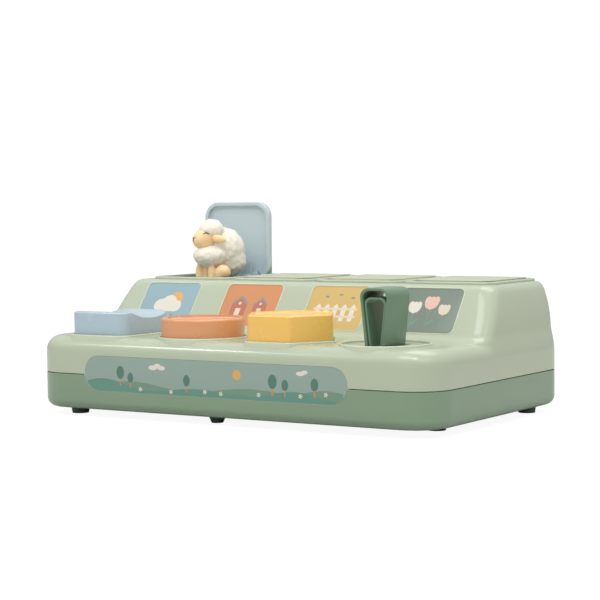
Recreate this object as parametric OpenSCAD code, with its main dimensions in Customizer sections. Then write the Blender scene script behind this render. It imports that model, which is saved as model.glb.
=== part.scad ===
// Pop-up animal toy: a two-piece housing with four controls on its deck and four sprung lids behind.
// Each lid carries a farm animal on an L-shaped arm and swings up about a pin at the rear.
// Origin: on the table, under the middle of the body. +X right, +Y to the rear, +Z up. Millimetres.

/* [Body] */
// Width of the body, left to right
body_w = 300; // [292:1:330]
// Depth of the body, front to rear
body_d = 186; // [184:1:200]
// Plan radius of the body's corners
corner_r = 25; // [18:1:28]
// Wall thickness of both shells
wall = 2.4; // [1.8:0.1:2.8]
// Height of the shells' underside above the table
foot_h = 5; // [3:0.5:7]
// Height of the seam between the shells
seam_h = 28; // [26:1:32]
// Height of the deck that carries the controls
deck_h = 52; // [50:1:54]
// Rounding of the deck's outer edge
deck_edge_r = 10; // [5:1:11]
// Rounding of the underside's outer edge
base_edge_r = 6; // [4:1:7]
// Height of the tongue that locates the upper shell in the lower one
tongue_h = 2; // [1:0.5:4]

/* [Rear housing] */
// Height of the housing's flat top
house_h = 85; // [83:1:88]
// Distance from the front edge to the foot of the sloping panel wall
wall_foot = 72; // [70:1:74]
// Lean of the panel wall from upright, in degrees
wall_lean = 36.5; // [34:0.5:38]
// How far each side leans in from the deck to the top
side_draft = 7; // [4:0.5:8]
// How far the rear leans in from the deck to the top
rear_draft = 2; // [1:0.5:3]
// Rounding of the housing's edges
house_edge_r = 4; // [3:0.5:6]

/* [Lids] */
// Spacing of the four pop-up units and of the controls in front of them
unit_pitch = 67; // [66.5:0.1:68]
// Distance from the rear face to the lids' hinge pins
hinge_setback = 17.4; // [16.5:0.1:18]
// Depth of the hinge pins below the housing's top
hinge_drop = 2.4; // [2.2:0.1:3]
// Diameter of a hinge pin
hinge_pin_d = 3; // [2:0.5:4]
// Width of a lid
lid_w = 55.6; // [54:0.2:57]
// Length of a lid, front to rear
lid_len = 51.8; // [50:0.2:52]
// Gap between the hinge pin and the rear edge of its lid
lid_reach = 3.6; // [3.6:0.1:4]
// Height of the lid's coloured tray
tray_h = 3.6; // [3:0.2:4]
// Width of the rim round the tray's hollow
tray_rim = 2; // [1.6:0.1:3]
// Thickness of the tray's plate
tray_plate = 1.2; // [0.8:0.1:1.5]
// Corner radius of a lid
lid_corner_r = 11.5; // [8:0.5:12]
// Thickness of the lid's cover
cover_h = 0.8; // [0.6:0.1:1.2]
// How far the cover reaches behind the hinge pin
cover_back = 3.2; // [0:0.2:4]
// How far the cover stops short of the tray's edge
cover_inset = 1; // [0.5:0.1:2]
// Clearance round a lid in its frame
lid_gap = 0.7; // [0.6:0.1:1]
// Width of the raised frame at the sides of a lid
frame_rim = 4; // [3:0.1:4.2]
// Width of the raised frame in front of a lid
frame_front_rim = 5.4; // [5:0.1:7]
// Width of the raised frame behind a lid
frame_rear_rim = 6.4; // [5:0.2:8]
// Height of the frames above the housing's top
frame_rise = 1.6; // [1:0.1:2]
// Length of the arm's floor that an animal stands on
arm_len = 44.5; // [43:0.5:46]
// Width of the arm
arm_w = 26; // [24:0.5:27]
// Thickness of the arm's plates
arm_t = 2; // [1.6:0.1:2]

/* [Controls] */
// Distance from the front edge to the controls' centres
control_set = 32; // [31.5:0.5:34]
// Height of the lip round each control
lip_h = 1.4; // [0.8:0.1:2]
// Width of the lip round each control
lip_w = 1.7; // [1.2:0.1:2]
// Gap between a control and its lip
lip_gap = 0.9; // [0.6:0.1:1.2]
// Gap between a control and the deck under it
ride_gap = 0.6; // [0.4:0.1:1]
// Width of the slider block
slider_w = 44; // [40:1:45]
// Depth of the slider block
slider_d = 51; // [48:1:52]
// Height of the slider block
slider_h = 15.4; // [13:0.2:18]
// Travel of the slider towards the rear
slider_travel = 8; // [6:0.5:8]
// Depth of the finger hollow across the slider
scoop_depth = 4.6; // [3:0.2:6]
// Radius of the finger hollow
scoop_r = 55; // [40:1:70]
// Diameter of the dial
dial_d = 53.4; // [48:0.2:54]
// Height of the dial
dial_h = 12.6; // [10:0.2:16]
// Distance between opposite corners of the six-sided button
button_span = 60; // [54:1:60]
// Height of the button above the deck
button_h = 17; // [14:0.5:20]
// Travel of the button
button_travel = 5; // [4:0.5:5]
// Width of the flip lever at its top
lever_top_w = 20; // [18:0.5:22]
// Width of the flip lever at its foot
lever_foot_w = 13.5; // [12:0.5:14]
// Depth of the flip lever
lever_d = 26; // [22:1:26]
// Height of the flip lever above the deck
lever_h = 33.8; // [28:0.2:38]
// Diameter of the ring round the flip lever
ring_d = 56.6; // [50:0.2:57]
// Tilt of the flip lever at the end of its travel, in degrees
lever_swing = 22; // [16:1:22]

/* [Mechanism] */
// Clear height between the mechanism plate and the deck
mech_h = 9.1; // [9.1:0.1:9.5]
// Thickness of the mechanism plate
plate_t = 2.5; // [2:0.1:3]
// Depth of the rod that the latches rock on, below the housing's top
latch_depth = 15; // [14:0.5:16]
// Diameter of the latch rod
latch_rod_d = 4; // [3:0.5:4]
// Width of a latch
latch_w = 8; // [6:0.5:10]
// Swing of a latch, in degrees
latch_swing = 6; // [5:0.5:6]
// Running clearance of a pin or shaft in its bore, on the radius
run_gap = 0.05; // [0.02:0.01:0.08]
// Gap left between pieces that push each other
push_gap = 0.4; // [0.3:0.1:0.6]
// Wire diameter of the lid springs
lid_wire_d = 0.8; // [0.6:0.1:0.9]
// Turns of a lid spring
lid_turns = 5; // [4:1:6]
// Wire diameter of the button spring
button_wire_d = 1; // [0.8:0.1:1.2]
// Turns of the button spring
button_turns = 6; // [5:1:7]

/* [Labels and feet] */
// Width of a panel label
label_w = 44.2; // [38:0.2:46]
// Height of a panel label, along the slope
label_h = 33.6; // [28:0.2:34]
// Distance from the panel wall's foot to a label, along the slope
label_lift = 5.2; // [4:0.2:6]
// Thickness of a label
label_t = 0.6; // [0.4:0.1:1]
// Length of the front plaque
plaque_w = 198; // [180:1:210]
// Height of the front plaque
plaque_h = 23; // [18:0.5:24]
// Centre of the front plaque, left of the body's middle
plaque_shift = 6; // [0:1:10]
// Height of the plaque's centre above the seam
plaque_lift = 1.2; // [0:0.1:2]
// Diameter of a rubber foot
foot_d = 12.6; // [10:0.2:14]
// Height of a foot inside its seat in the lower shell
foot_seat = 1; // [0.5:0.1:1.5]
// Shank diameter of a case screw
case_screw_d = 3; // [2.5:0.1:3.5]
// Shank diameter of a plate screw
plate_screw_d = 2.4; // [2:0.1:2.8]

/* [Hidden] */

$fn = 48;
HULL_FN = 32;
SAGE = "#bcc8ad";
SAGE_DARK = "#7f957b";
BLUE = "#b1c3ca";
ORANGE = "#d2966c";
YELLOW = "#e5b65e";
GREEN = "#6c8a70";
GREY_GREEN = "#87988a";
RUBBER = "#4c5a52";
STEEL = "#b9bdc0";
WOOL = "#f3efe6";
LID_COLOURS = [BLUE, ORANGE, YELLOW, GREY_GREEN];

front_y = -body_d / 2;
rear_y = body_d / 2;
control_y = front_y + control_set;
hinge_y = rear_y - hinge_setback;
hinge_z = house_h - hinge_drop;
open_units = [true, false, false, false];
function unit_x(i) = (i - 1.5) * unit_pitch;

// Housing outline
wall_rise_angle = 90 - wall_lean;
function wall_y(z) = front_y + wall_foot + (z - deck_h) / tan(wall_rise_angle);
house_low_r = 8;
house_low_z = deck_h - 6;
house_low_inset = 2;
house_top_r = corner_r - side_draft;
shell_clear = 0.15;

// Lid, in its own frame: the hinge axis is the origin and the closed lid lies towards -Y
tray_lift = 0.5;
lid_front = -(lid_reach + lid_len);
lid_top = tray_lift + tray_h;
frame_in_w = lid_w + 2 * lid_gap;
frame_w = frame_in_w + 2 * frame_rim;
frame_in_front = lid_front - lid_gap;
frame_in_rear = norm([cover_back, lid_top + cover_h]) + lid_gap;
frame_front = frame_in_front - frame_front_rim;
frame_rear = frame_in_rear + frame_rear_rim;
frame_top = hinge_drop + frame_rise;
frame_corner_r = lid_corner_r + 1;
cheek_t = 2;
cheek_len = 8;
cheek_drop = 4.5;
hole_gap = 0.2;
arm_floor = tray_lift + arm_t;
gusset_x = 5;
gusset_t = 1.6;
gusset_len = 9;
catch_w = 9;
catch_depth = 1.3;
catch_z0 = 1.6;
catch_z1 = 3.4;
pin_len = frame_in_w + 2 * cheek_t;

// Controls
control_z = deck_h + ride_gap;
lip_root = 5;
deck_under = deck_h - wall;
plate_top = deck_under - mech_h;
plate_z = plate_top - plate_t;
slider_corner_r = 8;
slider_stem_w = 9;
slider_stem_d = 14;
stem_gap = 0.7;
shoe_w = 18;
shoe_h = 3.2;
dial_shaft_r = 8;
dial_tail_r = 5;
cam_r = 11;
cam_h = 4.8;
cam_z = plate_top + 0.5;
button_corner_r = 4;
button_wall = 2.2;
button_gap = 0.5;
hole_sink = 4;
stem_r = 4;
lever_axis_z = deck_h - 5.4;
lever_pin_d = 3;
lever_wall = 1.8;
lever_sink = 3.4;
core_inset = lever_wall + 0.5;
core_drop = 3.4;
core_wall = 1.3;
core_set = 1.2;
lever_foot_d = lever_d - 2;
ear_t = 3;
ear_w = 14;
front_ear_y = control_y - lever_d / 2 - ear_t - 0.5;
rear_ear_y = control_y + lever_d / 2 + 13;

// Latches rock about the rod: the foot below it is pushed back and the nose above it comes forward.
// The nose is drawn just clear of the lid's catch, as it is when the lid has been let go.
blade_t = 1.2;
blade_gap = 2.4;
latch_y = hinge_y + frame_in_front - cheek_t - hole_gap - blade_t / 2;
latch_z = house_h - latch_depth;
latch_hub_r = latch_rod_d / 2 + 2;
foot_face_y = -8.5;
foot_low_z = plate_top + 1 - latch_z;
foot_top_z = foot_low_z + 4;
latch_foot_travel = (latch_z - (plate_top + 3)) * sin(latch_swing);
nose_low_z = hinge_z + catch_z0 + 0.3 - latch_z;
nose_top_z = hinge_z + catch_z1 - 0.3 - latch_z;
nose_tip_y = hinge_y + frame_in_front + 0.1 - latch_y;
bracket_x = [-unit_x(3) - frame_in_w / 2 - 1, -unit_pitch, 0, unit_pitch, unit_x(3) + frame_in_w / 2 + 1];
plate_half_w = bracket_x[4] + 2.3;
push_end_y = latch_y + foot_face_y - push_gap;
rod_z = plate_top + 0.7;
rod_h = 3.1;

// Springs
lid_coil_r = hinge_pin_d / 2 + 0.2 + lid_wire_d / 2;
lid_coil_x = arm_w / 2 + 1.2;
lid_coil_room = 0.4;
cup_depth = 14;
cup_r = 10;
cup_in_r = 8.6;
button_coil_r = 6.6;
stem_disc_h = 3.4;
stem_disc_z = deck_under - 0.4 - stem_disc_h;
RINGS = 8;
SIDES = 6;

// Screw places: [x, distance from the front edge]
case_screw_sites = [[-138, 22], [138, 22], [-138, 138], [138, 138], [0, 14], [0, body_d - 9]];
plate_screw_sites = [[-unit_pitch, 12], [unit_pitch, 12], [-unit_pitch, 67], [0, 67], [unit_pitch, 67]];
foot_sites = [[-126, 21], [-14, 19], [125, 51], [-134, 158], [134, 158]];
boss_r = 4;
post_r = 4.6;
screw_head_r = 3;
screw_head_h = 2;
screw_seat_z = seam_h - 6;
boss_top = deck_h - 6;
plate_post_r = 3.2;

// Rounded rectangle centred on the origin, as points
function arc_pts(x, y, r, a0, a1, n = 6) =
    [for (k = [0 : n]) [x + r * cos(a0 + (a1 - a0) * k / n), y + r * sin(a0 + (a1 - a0) * k / n)]];
function box_pts(x0, x1, y0, y1, rf, rb) = concat(
    arc_pts(x1 - rf, y0 + rf, rf, -90, 0),
    arc_pts(x1 - rb, y1 - rb, rb, 0, 90),
    arc_pts(x0 + rb, y1 - rb, rb, 90, 180),
    arc_pts(x0 + rf, y0 + rf, rf, 180, 270));
function rect_pts(w, d, r) = box_pts(-w / 2, w / 2, -d / 2, d / 2, r, r);
// Regular hexagon with rounded corners, one flat side facing the front
function hex_pts(radius, r) =
    [for (k = [0 : 5]) each arc_pts((radius - r / cos(30)) * cos(60 * k),
                                    (radius - r / cos(30)) * sin(60 * k), r, 60 * k - 30, 60 * k + 30, 4)];

module slab(pts, z0, z1) {
    translate([0, 0, z0]) linear_extrude(z1 - z0) polygon(pts);
}

// Extrudes a profile drawn in Y and Z along X
module along_x(x0, x1) {
    translate([x0, 0, 0]) rotate([90, 0, 90]) linear_extrude(x1 - x0) children();
}

// Extrudes a profile drawn in X and Z along Y
module along_y(y0, y1) {
    translate([0, y1, 0]) rotate([90, 0, 0]) linear_extrude(y1 - y0) children();
}

module rod_x(r, x0, x1) {
    translate([x0, 0, 0]) rotate([0, 90, 0]) cylinder(r = r, h = x1 - x0);
}

module rod_y(r, y0, y1) {
    translate([0, y1, 0]) rotate([90, 0, 0]) cylinder(r = r, h = y1 - y0);
}

// A round post whose top edge is rounded
module soft_post(r, edge, h) {
    rotate_extrude($fn = HULL_FN)
        polygon(concat([[0, 0], [r, 0]], arc_pts(r - edge, h - edge, edge, 0, 90, 5), [[0, h]]));
}

module at_corners(r) {
    for (sx = [-1, 1], sy = [-1, 1])
        translate([sx * (body_w / 2 - r), sy * (body_d / 2 - r), 0]) children();
}

// ---- Shells ----
module deck_solid(inset, z0) {
    hull() at_corners(corner_r)
        translate([0, 0, z0])
            soft_post(corner_r - inset, deck_edge_r - inset, deck_h - inset - z0);
}

module housing_solid(inset, z0) {
    low_y = wall_y(house_low_z + house_low_r * cos(wall_rise_angle)) + house_low_r * sin(wall_rise_angle);
    top_z = house_h - house_edge_r;
    top_y = wall_y(top_z + house_edge_r * cos(wall_rise_angle)) + house_edge_r * sin(wall_rise_angle);
    low_x = body_w / 2 - house_low_inset - house_low_r;
    top_x = body_w / 2 - side_draft - house_low_inset - house_edge_r;
    hull() {
        for (s = [-1, 1]) {
            translate([s * low_x, low_y, house_low_z]) sphere(r = house_low_r - inset, $fn = HULL_FN);
            translate([s * top_x, top_y, top_z]) sphere(r = house_edge_r - inset, $fn = HULL_FN);
            translate([s * (body_w / 2 - corner_r), rear_y - corner_r, z0])
                cylinder(r = corner_r - inset, h = house_low_z - z0, $fn = HULL_FN);
            translate([s * (body_w / 2 - side_draft - house_low_inset - house_top_r),
                       rear_y - rear_draft - house_top_r, house_low_z])
                soft_post(house_top_r - inset, house_edge_r - inset, house_h - inset - house_low_z);
        }
    }
}

module label_place(i) {
    rise = label_lift + label_h / 2;
    translate([unit_x(i), wall_y(deck_h) + rise * cos(wall_rise_angle), deck_h + rise * sin(wall_rise_angle)])
        rotate([wall_rise_angle, 0, 0]) children();
}

module plaque_place() {
    translate([-plaque_shift, front_y, seam_h + plaque_lift]) rotate([90, 0, 0]) children();
}

module lever_slot() {
    left = lever_foot_w / 2 + 0.4;
    right = lever_foot_w / 2 + 3.8;
    translate([unit_x(3) - left, control_y - lever_d / 2 - 0.8, deck_under - 1])
        cube([left + right, lever_d + 1.6, wall + 2]);
}

module lips() {
    slider_cy = control_y + slider_travel / 2;
    translate([unit_x(0), slider_cy, 0])
        slab(rect_pts(slider_w + 2 * (lip_gap + lip_w), slider_d + slider_travel + 2 * (lip_gap + lip_w),
                      slider_corner_r + lip_gap + lip_w), deck_h - lip_root, deck_h + lip_h);
    translate([unit_x(1), control_y, deck_h - lip_root])
        cylinder(r = dial_d / 2 + lip_gap + lip_w, h = lip_root + lip_h);
    translate([unit_x(2), control_y, 0])
        slab(hex_pts(button_span / 2 + lip_gap + lip_w, button_corner_r + lip_gap),
             deck_h - lip_root, deck_h + lip_h);
    translate([unit_x(3), control_y, deck_h - lip_root]) cylinder(r = ring_d / 2, h = lip_root + lip_h);
}

module lip_pockets() {
    slider_cy = control_y + slider_travel / 2;
    translate([unit_x(0), slider_cy, 0])
        slab(rect_pts(slider_w + 2 * lip_gap, slider_d + slider_travel + 2 * lip_gap,
                      slider_corner_r + lip_gap), deck_h, deck_h + lip_h + 1);
    translate([unit_x(0) - slider_stem_w / 2 - stem_gap, control_y - slider_stem_d / 2 - stem_gap, deck_under - 1])
        cube([slider_stem_w + 2 * stem_gap, slider_stem_d + slider_travel + 2 * stem_gap, wall + 2]);
    translate([unit_x(1), control_y, deck_h]) cylinder(r = dial_d / 2 + lip_gap, h = lip_h + 1);
    translate([unit_x(1), control_y, deck_under - 1]) cylinder(r = dial_shaft_r + run_gap, h = wall + 2);
    translate([unit_x(2), control_y, 0])
        slab(hex_pts(button_span / 2 + button_gap, button_corner_r), deck_under - hole_sink, deck_h + lip_h + 1);
    translate([unit_x(3), control_y, deck_h]) cylinder(r = ring_d / 2 - 1.8, h = lip_h + 1);
    lever_slot();
}

module upper_shell() {
    color(SAGE)
    union() {
        difference() {
            union() {
                deck_solid(0, seam_h);
                housing_solid(0, seam_h);
                lips();
            }
            deck_solid(wall, seam_h - 1);
            housing_solid(wall, seam_h - 1);
            lip_pockets();
            for (i = [0 : 3]) {
                translate([unit_x(i), hinge_y, 0])
                    slab(box_pts(-frame_in_w / 2 - cheek_t - hole_gap, frame_in_w / 2 + cheek_t + hole_gap,
                                 frame_in_front - cheek_t - hole_gap, frame_in_rear + cheek_t + hole_gap, 2, 0.3),
                         house_h - wall - 1, house_h + 1);
                translate([unit_x(i) - catch_w / 2, latch_y - blade_t / 2 - blade_gap, house_h - wall - 1])
                    cube([catch_w, blade_t + blade_gap + 1, wall + 2]);
                label_place(i)
                    slab(rect_pts(label_w, label_h, 4), -label_t, 3);
            }
            plaque_place() slab(rect_pts(plaque_w, plaque_h, plaque_h / 2 - 0.1), -label_t, 3);
        }
        screw_bosses();
        plate_posts();
    }
}

// Bosses for the case screws, each tied to the nearest wall by a rib
module screw_bosses() {
    difference() {
        for (s = case_screw_sites) translate([s[0], front_y + s[1], seam_h + shell_clear]) {
            cylinder(r = boss_r, h = boss_top - seam_h - shell_clear);
            if (s[0] != 0)
                translate([s[0] > 0 ? 0 : s[0] + body_w / 2 - wall - (s[0] + body_w / 2 - wall) * 2, -1, 0])
                    cube([body_w / 2 - wall / 2 - abs(s[0]), 2, boss_top - seam_h - shell_clear]);
            if (s[0] == 0)
                translate([-1, s[1] < body_d / 2 ? -s[1] + wall / 2 : 0, 0])
                    cube([2, min(s[1], body_d - s[1]) - wall / 2, boss_top - seam_h - shell_clear]);
        }
        for (s = case_screw_sites)
            translate([s[0], front_y + s[1], seam_h - 1]) cylinder(r = case_screw_d / 2 + run_gap, h = 14);
    }
}

// Posts under the deck that the mechanism plate is screwed to
module plate_posts() {
    for (s = plate_screw_sites) translate([s[0], front_y + s[1], plate_top + 0.02])
        difference() {
            cylinder(r = plate_post_r, h = deck_under + 0.4 - plate_top);
            translate([0, 0, -1]) cylinder(r = plate_screw_d / 2 + run_gap, h = mech_h);
        }
}

module lower_shell() {
    color(SAGE_DARK)
    difference() {
        union() {
            difference() {
                hull() at_corners(corner_r)
                    translate([0, 0, seam_h]) mirror([0, 0, 1])
                        soft_post(corner_r, base_edge_r, seam_h - foot_h);
                hull() at_corners(corner_r)
                    translate([0, 0, seam_h + 1]) mirror([0, 0, 1])
                        soft_post(corner_r - wall, base_edge_r - wall, seam_h + 1 - foot_h - wall);
            }
            difference() {
                slab(rect_pts(body_w - 2 * wall - 2 * shell_clear, body_d - 2 * wall - 2 * shell_clear,
                              corner_r - wall - shell_clear), seam_h - 4, seam_h + tongue_h);
                slab(rect_pts(body_w - 4 * wall, body_d - 4 * wall, corner_r - 2 * wall),
                     seam_h - 5, seam_h + tongue_h + 1);
                for (s = case_screw_sites) tongue_notch(s);
            }
            difference() {
                slab(rect_pts(body_w - wall, body_d - wall, corner_r - wall / 2), seam_h - 4, seam_h - 2);
                slab(rect_pts(body_w - 4 * wall, body_d - 4 * wall, corner_r - 2 * wall), seam_h - 5, seam_h);
            }
            for (s = case_screw_sites)
                translate([s[0], front_y + s[1], foot_h + 0.5]) cylinder(r = post_r, h = seam_h - foot_h - 0.5);
        }
        for (s = case_screw_sites) translate([s[0], front_y + s[1], 0]) {
            translate([0, 0, foot_h - 1]) cylinder(r = screw_head_r + 0.3, h = screw_seat_z - foot_h + 1);
            translate([0, 0, foot_h]) cylinder(r = case_screw_d / 2 + 0.3, h = seam_h);
        }
        for (s = foot_sites)
            translate([s[0], front_y + s[1], foot_h - 1]) cylinder(r = foot_d / 2 + 0.1, h = foot_seat + 1);
        plaque_place() slab(rect_pts(plaque_w, plaque_h, plaque_h / 2 - 0.1), -label_t, 3);
    }
}

// Room in the tongue for a boss rib that crosses it
module tongue_notch(s) {
    reach = 24;
    translate([s[0], front_y + s[1], seam_h])
        translate([-reach / 2, -reach / 2, 0]) cube([reach, reach, tongue_h + 1]);
}

module rubber_feet() {
    color(RUBBER)
    for (k = [0 : len(foot_sites) - 1])
        translate([foot_sites[k][0], front_y + foot_sites[k][1], 0])
            cylinder(r1 = foot_d / 2 - (k == 1 ? 2.6 : 0.8), r2 = foot_d / 2, h = foot_h + foot_seat);
}

module case_screws() {
    color(STEEL)
    for (s = case_screw_sites) translate([s[0], front_y + s[1], 0]) {
        translate([0, 0, screw_seat_z - screw_head_h]) cylinder(r = screw_head_r, h = screw_head_h);
        translate([0, 0, screw_seat_z - 0.1]) cylinder(r = case_screw_d / 2, h = seam_h - screw_seat_z + 10);
    }
}

module front_plaque() {
    color(GREY_GREEN)
    plaque_place() slab(rect_pts(plaque_w - 0.3, plaque_h - 0.3, plaque_h / 2 - 0.3), -label_t, -0.05);
}

module panel_label(i) {
    color(LID_COLOURS[i])
    label_place(i) slab(rect_pts(label_w - 0.3, label_h - 0.3, 3.9), -label_t, -0.05);
}

// ---- Pop-up units ----
module unit_frame(i) {
    translate([unit_x(i), hinge_y, hinge_z]) children();
}

// Pieces drawn with the lid closed
module with_lid(i) {
    unit_frame(i) rotate([open_units[i] ? -90 : 0, 0, 0]) children();
}

// Pieces drawn with the animal upright
module with_animal(i) {
    unit_frame(i) rotate([open_units[i] ? 0 : 90, 0, 0]) children();
}

module well_frame(i) {
    color(SAGE)
    unit_frame(i)
    difference() {
        union() {
            slab(box_pts(-frame_w / 2, frame_w / 2, frame_front, frame_rear, frame_corner_r, 5),
                 hinge_drop, frame_top);
            slab(box_pts(-frame_in_w / 2 - cheek_t, frame_in_w / 2 + cheek_t,
                         frame_in_front - cheek_t, frame_in_rear + cheek_t, 1.9, 1.9),
                 hinge_drop - 4, hinge_drop + 0.1);
            for (s = [-1, 1])
                translate([s > 0 ? frame_in_w / 2 : -frame_in_w / 2 - cheek_t, -cheek_len, -cheek_drop])
                    cube([cheek_t, 2 * cheek_len, cheek_drop + hinge_drop]);
        }
        slab(box_pts(-frame_in_w / 2, frame_in_w / 2, frame_in_front, frame_in_rear, 1, 1),
             -cheek_drop - 1, frame_top + 1);
        rod_x(hinge_pin_d / 2 + run_gap / 2, -frame_w / 2, frame_w / 2);
        translate([-catch_w / 2, frame_in_front - cheek_t - hole_gap - blade_t - blade_gap, hinge_drop - 5])
            cube([catch_w, cheek_t + hole_gap + blade_t + blade_gap + 1, catch_z1 + 5 - hinge_drop]);
    }
}

module hinge_pins() {
    color(STEEL)
    for (i = [0 : 3]) unit_frame(i) rod_x(hinge_pin_d / 2, -pin_len / 2, pin_len / 2);
}

module lid_tray(i) {
    color(LID_COLOURS[i])
    with_lid(i)
    difference() {
        union() {
            slab(box_pts(-lid_w / 2, lid_w / 2, lid_front, 0, lid_corner_r, 0.1), tray_lift, lid_top);
            rod_x(lid_top, -lid_w / 2, lid_w / 2);
        }
        slab(box_pts(-lid_w / 2 + tray_rim, lid_w / 2 - tray_rim, lid_front + tray_rim, -lid_reach - tray_rim,
                     lid_corner_r - tray_rim, lid_corner_r - tray_rim), tray_lift - 1, lid_top - tray_plate);
        translate([-catch_w / 2, lid_front - 1, catch_z0]) cube([catch_w, catch_depth + 1, catch_z1 - catch_z0]);
        rod_x(hinge_pin_d / 2 + run_gap, -lid_w, lid_w);
        rod_x(lid_coil_r + lid_wire_d / 2 + lid_coil_room, lid_coil_x - 0.9, lid_coil_end + 0.9);
        translate([lid_coil_x - 0.9, -lid_top - 1, -lid_top - 1])
            cube([lid_coil_end - lid_coil_x + 1.8, lid_top + 1, lid_top + 1]);
    }
}

module lid_cover(i) {
    color(SAGE)
    with_lid(i)
        slab(box_pts(-lid_w / 2 + cover_inset, lid_w / 2 - cover_inset, lid_front + cover_inset,
                     cover_back, lid_corner_r - cover_inset, 1.5), lid_top, lid_top + cover_h);
}

module lid_arm(i) {
    color(SAGE_DARK)
    with_lid(i)
    difference() {
        union() {
            translate([-arm_w / 2, -12, tray_lift - 1.6]) cube([arm_w, 12, 1.6]);
            translate([-arm_w / 2, -arm_floor, -arm_len]) cube([arm_w, arm_t, arm_len]);
            for (s = [-1, 1])
                along_x(s * gusset_x - gusset_t / 2, s * gusset_x + gusset_t / 2)
                    polygon([[-gusset_len, tray_lift - 1], [-1, tray_lift - 1], [-1, -gusset_len]]);
        }
        rod_x(lid_top + 0.02, -arm_w, arm_w);
    }
}

// One unbroken tube through points: each ring lies square to the path
function unit(v) = v / norm(v);
function tangent(p, k) = unit(p[min(k + 1, len(p) - 1)] - p[max(k - 1, 0)]);
function ring_points(p, k, r, side) =
    let (t = tangent(p, k), u = unit(cross(side, t)), v = cross(t, u))
    [for (j = [0 : SIDES - 1]) p[k] + r * (cos(360 * j / SIDES) * u + sin(360 * j / SIDES) * v)];

module tube(path, r, side) {
    n = len(path);
    points = [for (k = [0 : n - 1]) each ring_points(path, k, r, side)];
    walls = [for (k = [0 : n - 2], j = [0 : SIDES - 1])
        let (a = k * SIDES + j, b = k * SIDES + (j + 1) % SIDES) each
            [[a, b, b + SIDES], [a, b + SIDES, a + SIDES]]];
    cap_a = [for (j = [1 : SIDES - 2]) [0, j + 1, j]];
    cap_b = [for (j = [1 : SIDES - 2]) let (o = (n - 1) * SIDES) [o, o + j, o + j + 1]];
    polyhedron(points, concat(walls, cap_a, cap_b), convexity = 10);
}

// Coil about X with two straight legs
lid_coil_pitch = lid_wire_d + 0.6;
lid_coil_end = lid_coil_x + lid_turns * lid_coil_pitch;
lid_coil_path = concat(
    [[0, -lid_coil_r, -14]],
    [for (k = [0 : lid_turns * RINGS])
        [lid_coil_pitch * k / RINGS, -lid_coil_r * cos(360 * k / RINGS), lid_coil_r * sin(360 * k / RINGS)]],
    [[lid_coil_pitch * lid_turns, -lid_coil_r - 4, -4]]);

module lid_spring(i) {
    color(STEEL)
    with_lid(i)
        translate([lid_coil_x, 0, 0]) tube(lid_coil_path, lid_wire_d / 2, [1, 0, 0]);
}

// Animals stand on the arm's floor, facing the front
module ball(x, y, z, r) {
    translate([x, y, z]) sphere(r = r);
}

module leg(x, y, r, h) {
    translate([x, y, arm_floor]) cylinder(r = r, h = h);
}

module sheep_figure() {
    color(WOOL)
    with_animal(0) {
        ball(0, -33.2, 20.4, 12.6);
        ball(3, -21.8, 21.4, 15.2);
        ball(5, -17.6, 14.4, 11.4);
        ball(-3, -29.6, 35.2, 8.4);
        ball(-5.6, -34.2, 29.8, 7);
        ball(-8.6, -37.6, 28.8, 5);
        ball(7.4, -36.2, 30, 2.6);
        leg(-9.4, -34.4, 3.1, 10);
        leg(1.4, -36.4, 3.1, 10);
        leg(-4, -33, 3.4, 9);
        leg(10.6, -32.4, 5, 8);
    }
}

module cow_figure() {
    color("#efe9dd")
    with_animal(1) {
        ball(0, -31, 20, 13.4);
        ball(0, -18, 18, 14.6);
        ball(0, -31, 34, 9.4);
        ball(0, -39, 30, 6.4);
        ball(-9.5, -28, 36.5, 3);
        ball(9.5, -28, 36.5, 3);
        leg(-7, -37, 3.4, 12);
        leg(7, -37, 3.4, 12);
        leg(-8, -15, 3.4, 12);
        leg(8, -15, 3.4, 12);
    }
}

module pig_figure() {
    color("#e9bfae")
    with_animal(2) {
        ball(0, -30, 17.6, 13.4);
        ball(0, -18, 17.2, 14);
        ball(0, -33, 29, 10.4);
        translate([0, -40.5, 27]) rod_y(4, -3, 2);
        ball(-7.5, -29, 38, 3);
        ball(7.5, -29, 38, 3);
        leg(-7, -36, 3.6, 10);
        leg(7, -36, 3.6, 10);
        leg(-7.5, -15, 3.6, 10);
        leg(7.5, -15, 3.6, 10);
    }
}

module duck_figure() {
    color("#f4dfa0")
    with_animal(3) {
        ball(0, -29, 17, 12.8);
        ball(0, -19, 16.4, 12.4);
        ball(0, -31, 32, 9.4);
        ball(0, -39.4, 30, 4);
        leg(-6, -34, 3.6, 8);
        leg(6, -34, 3.6, 8);
    }
}

// ---- Latches ----
module latch_rod() {
    color(STEEL)
    translate([0, latch_y, latch_z]) rod_x(latch_rod_d / 2, bracket_x[0] - 2, bracket_x[4] + 2);
}

module latch(i) {
    color(GREY_GREEN)
    translate([unit_x(i), latch_y, latch_z])
    difference() {
        union() {
            rod_x(latch_hub_r, -latch_w / 2, latch_w / 2);
            along_x(-latch_w / 2, latch_w / 2)
                polygon([[-blade_t, 0], [blade_t, 0], [blade_t / 2, latch_hub_r + 4], [blade_t / 2, nose_low_z],
                         [nose_tip_y, nose_low_z], [nose_tip_y, nose_top_z], [-blade_t / 2, nose_top_z],
                         [-blade_t / 2, latch_hub_r + 4]]);
            along_x(-latch_w / 2, latch_w / 2)
                polygon([[-2.5, 0], [2.5, 0], [1, foot_low_z + 8], [foot_face_y + 4, foot_low_z],
                         [foot_face_y, foot_low_z], [foot_face_y, foot_top_z], [foot_face_y + 4, foot_top_z + 0.5]]);
        }
        rod_x(latch_rod_d / 2 + run_gap, -latch_w, latch_w);
    }
}

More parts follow.
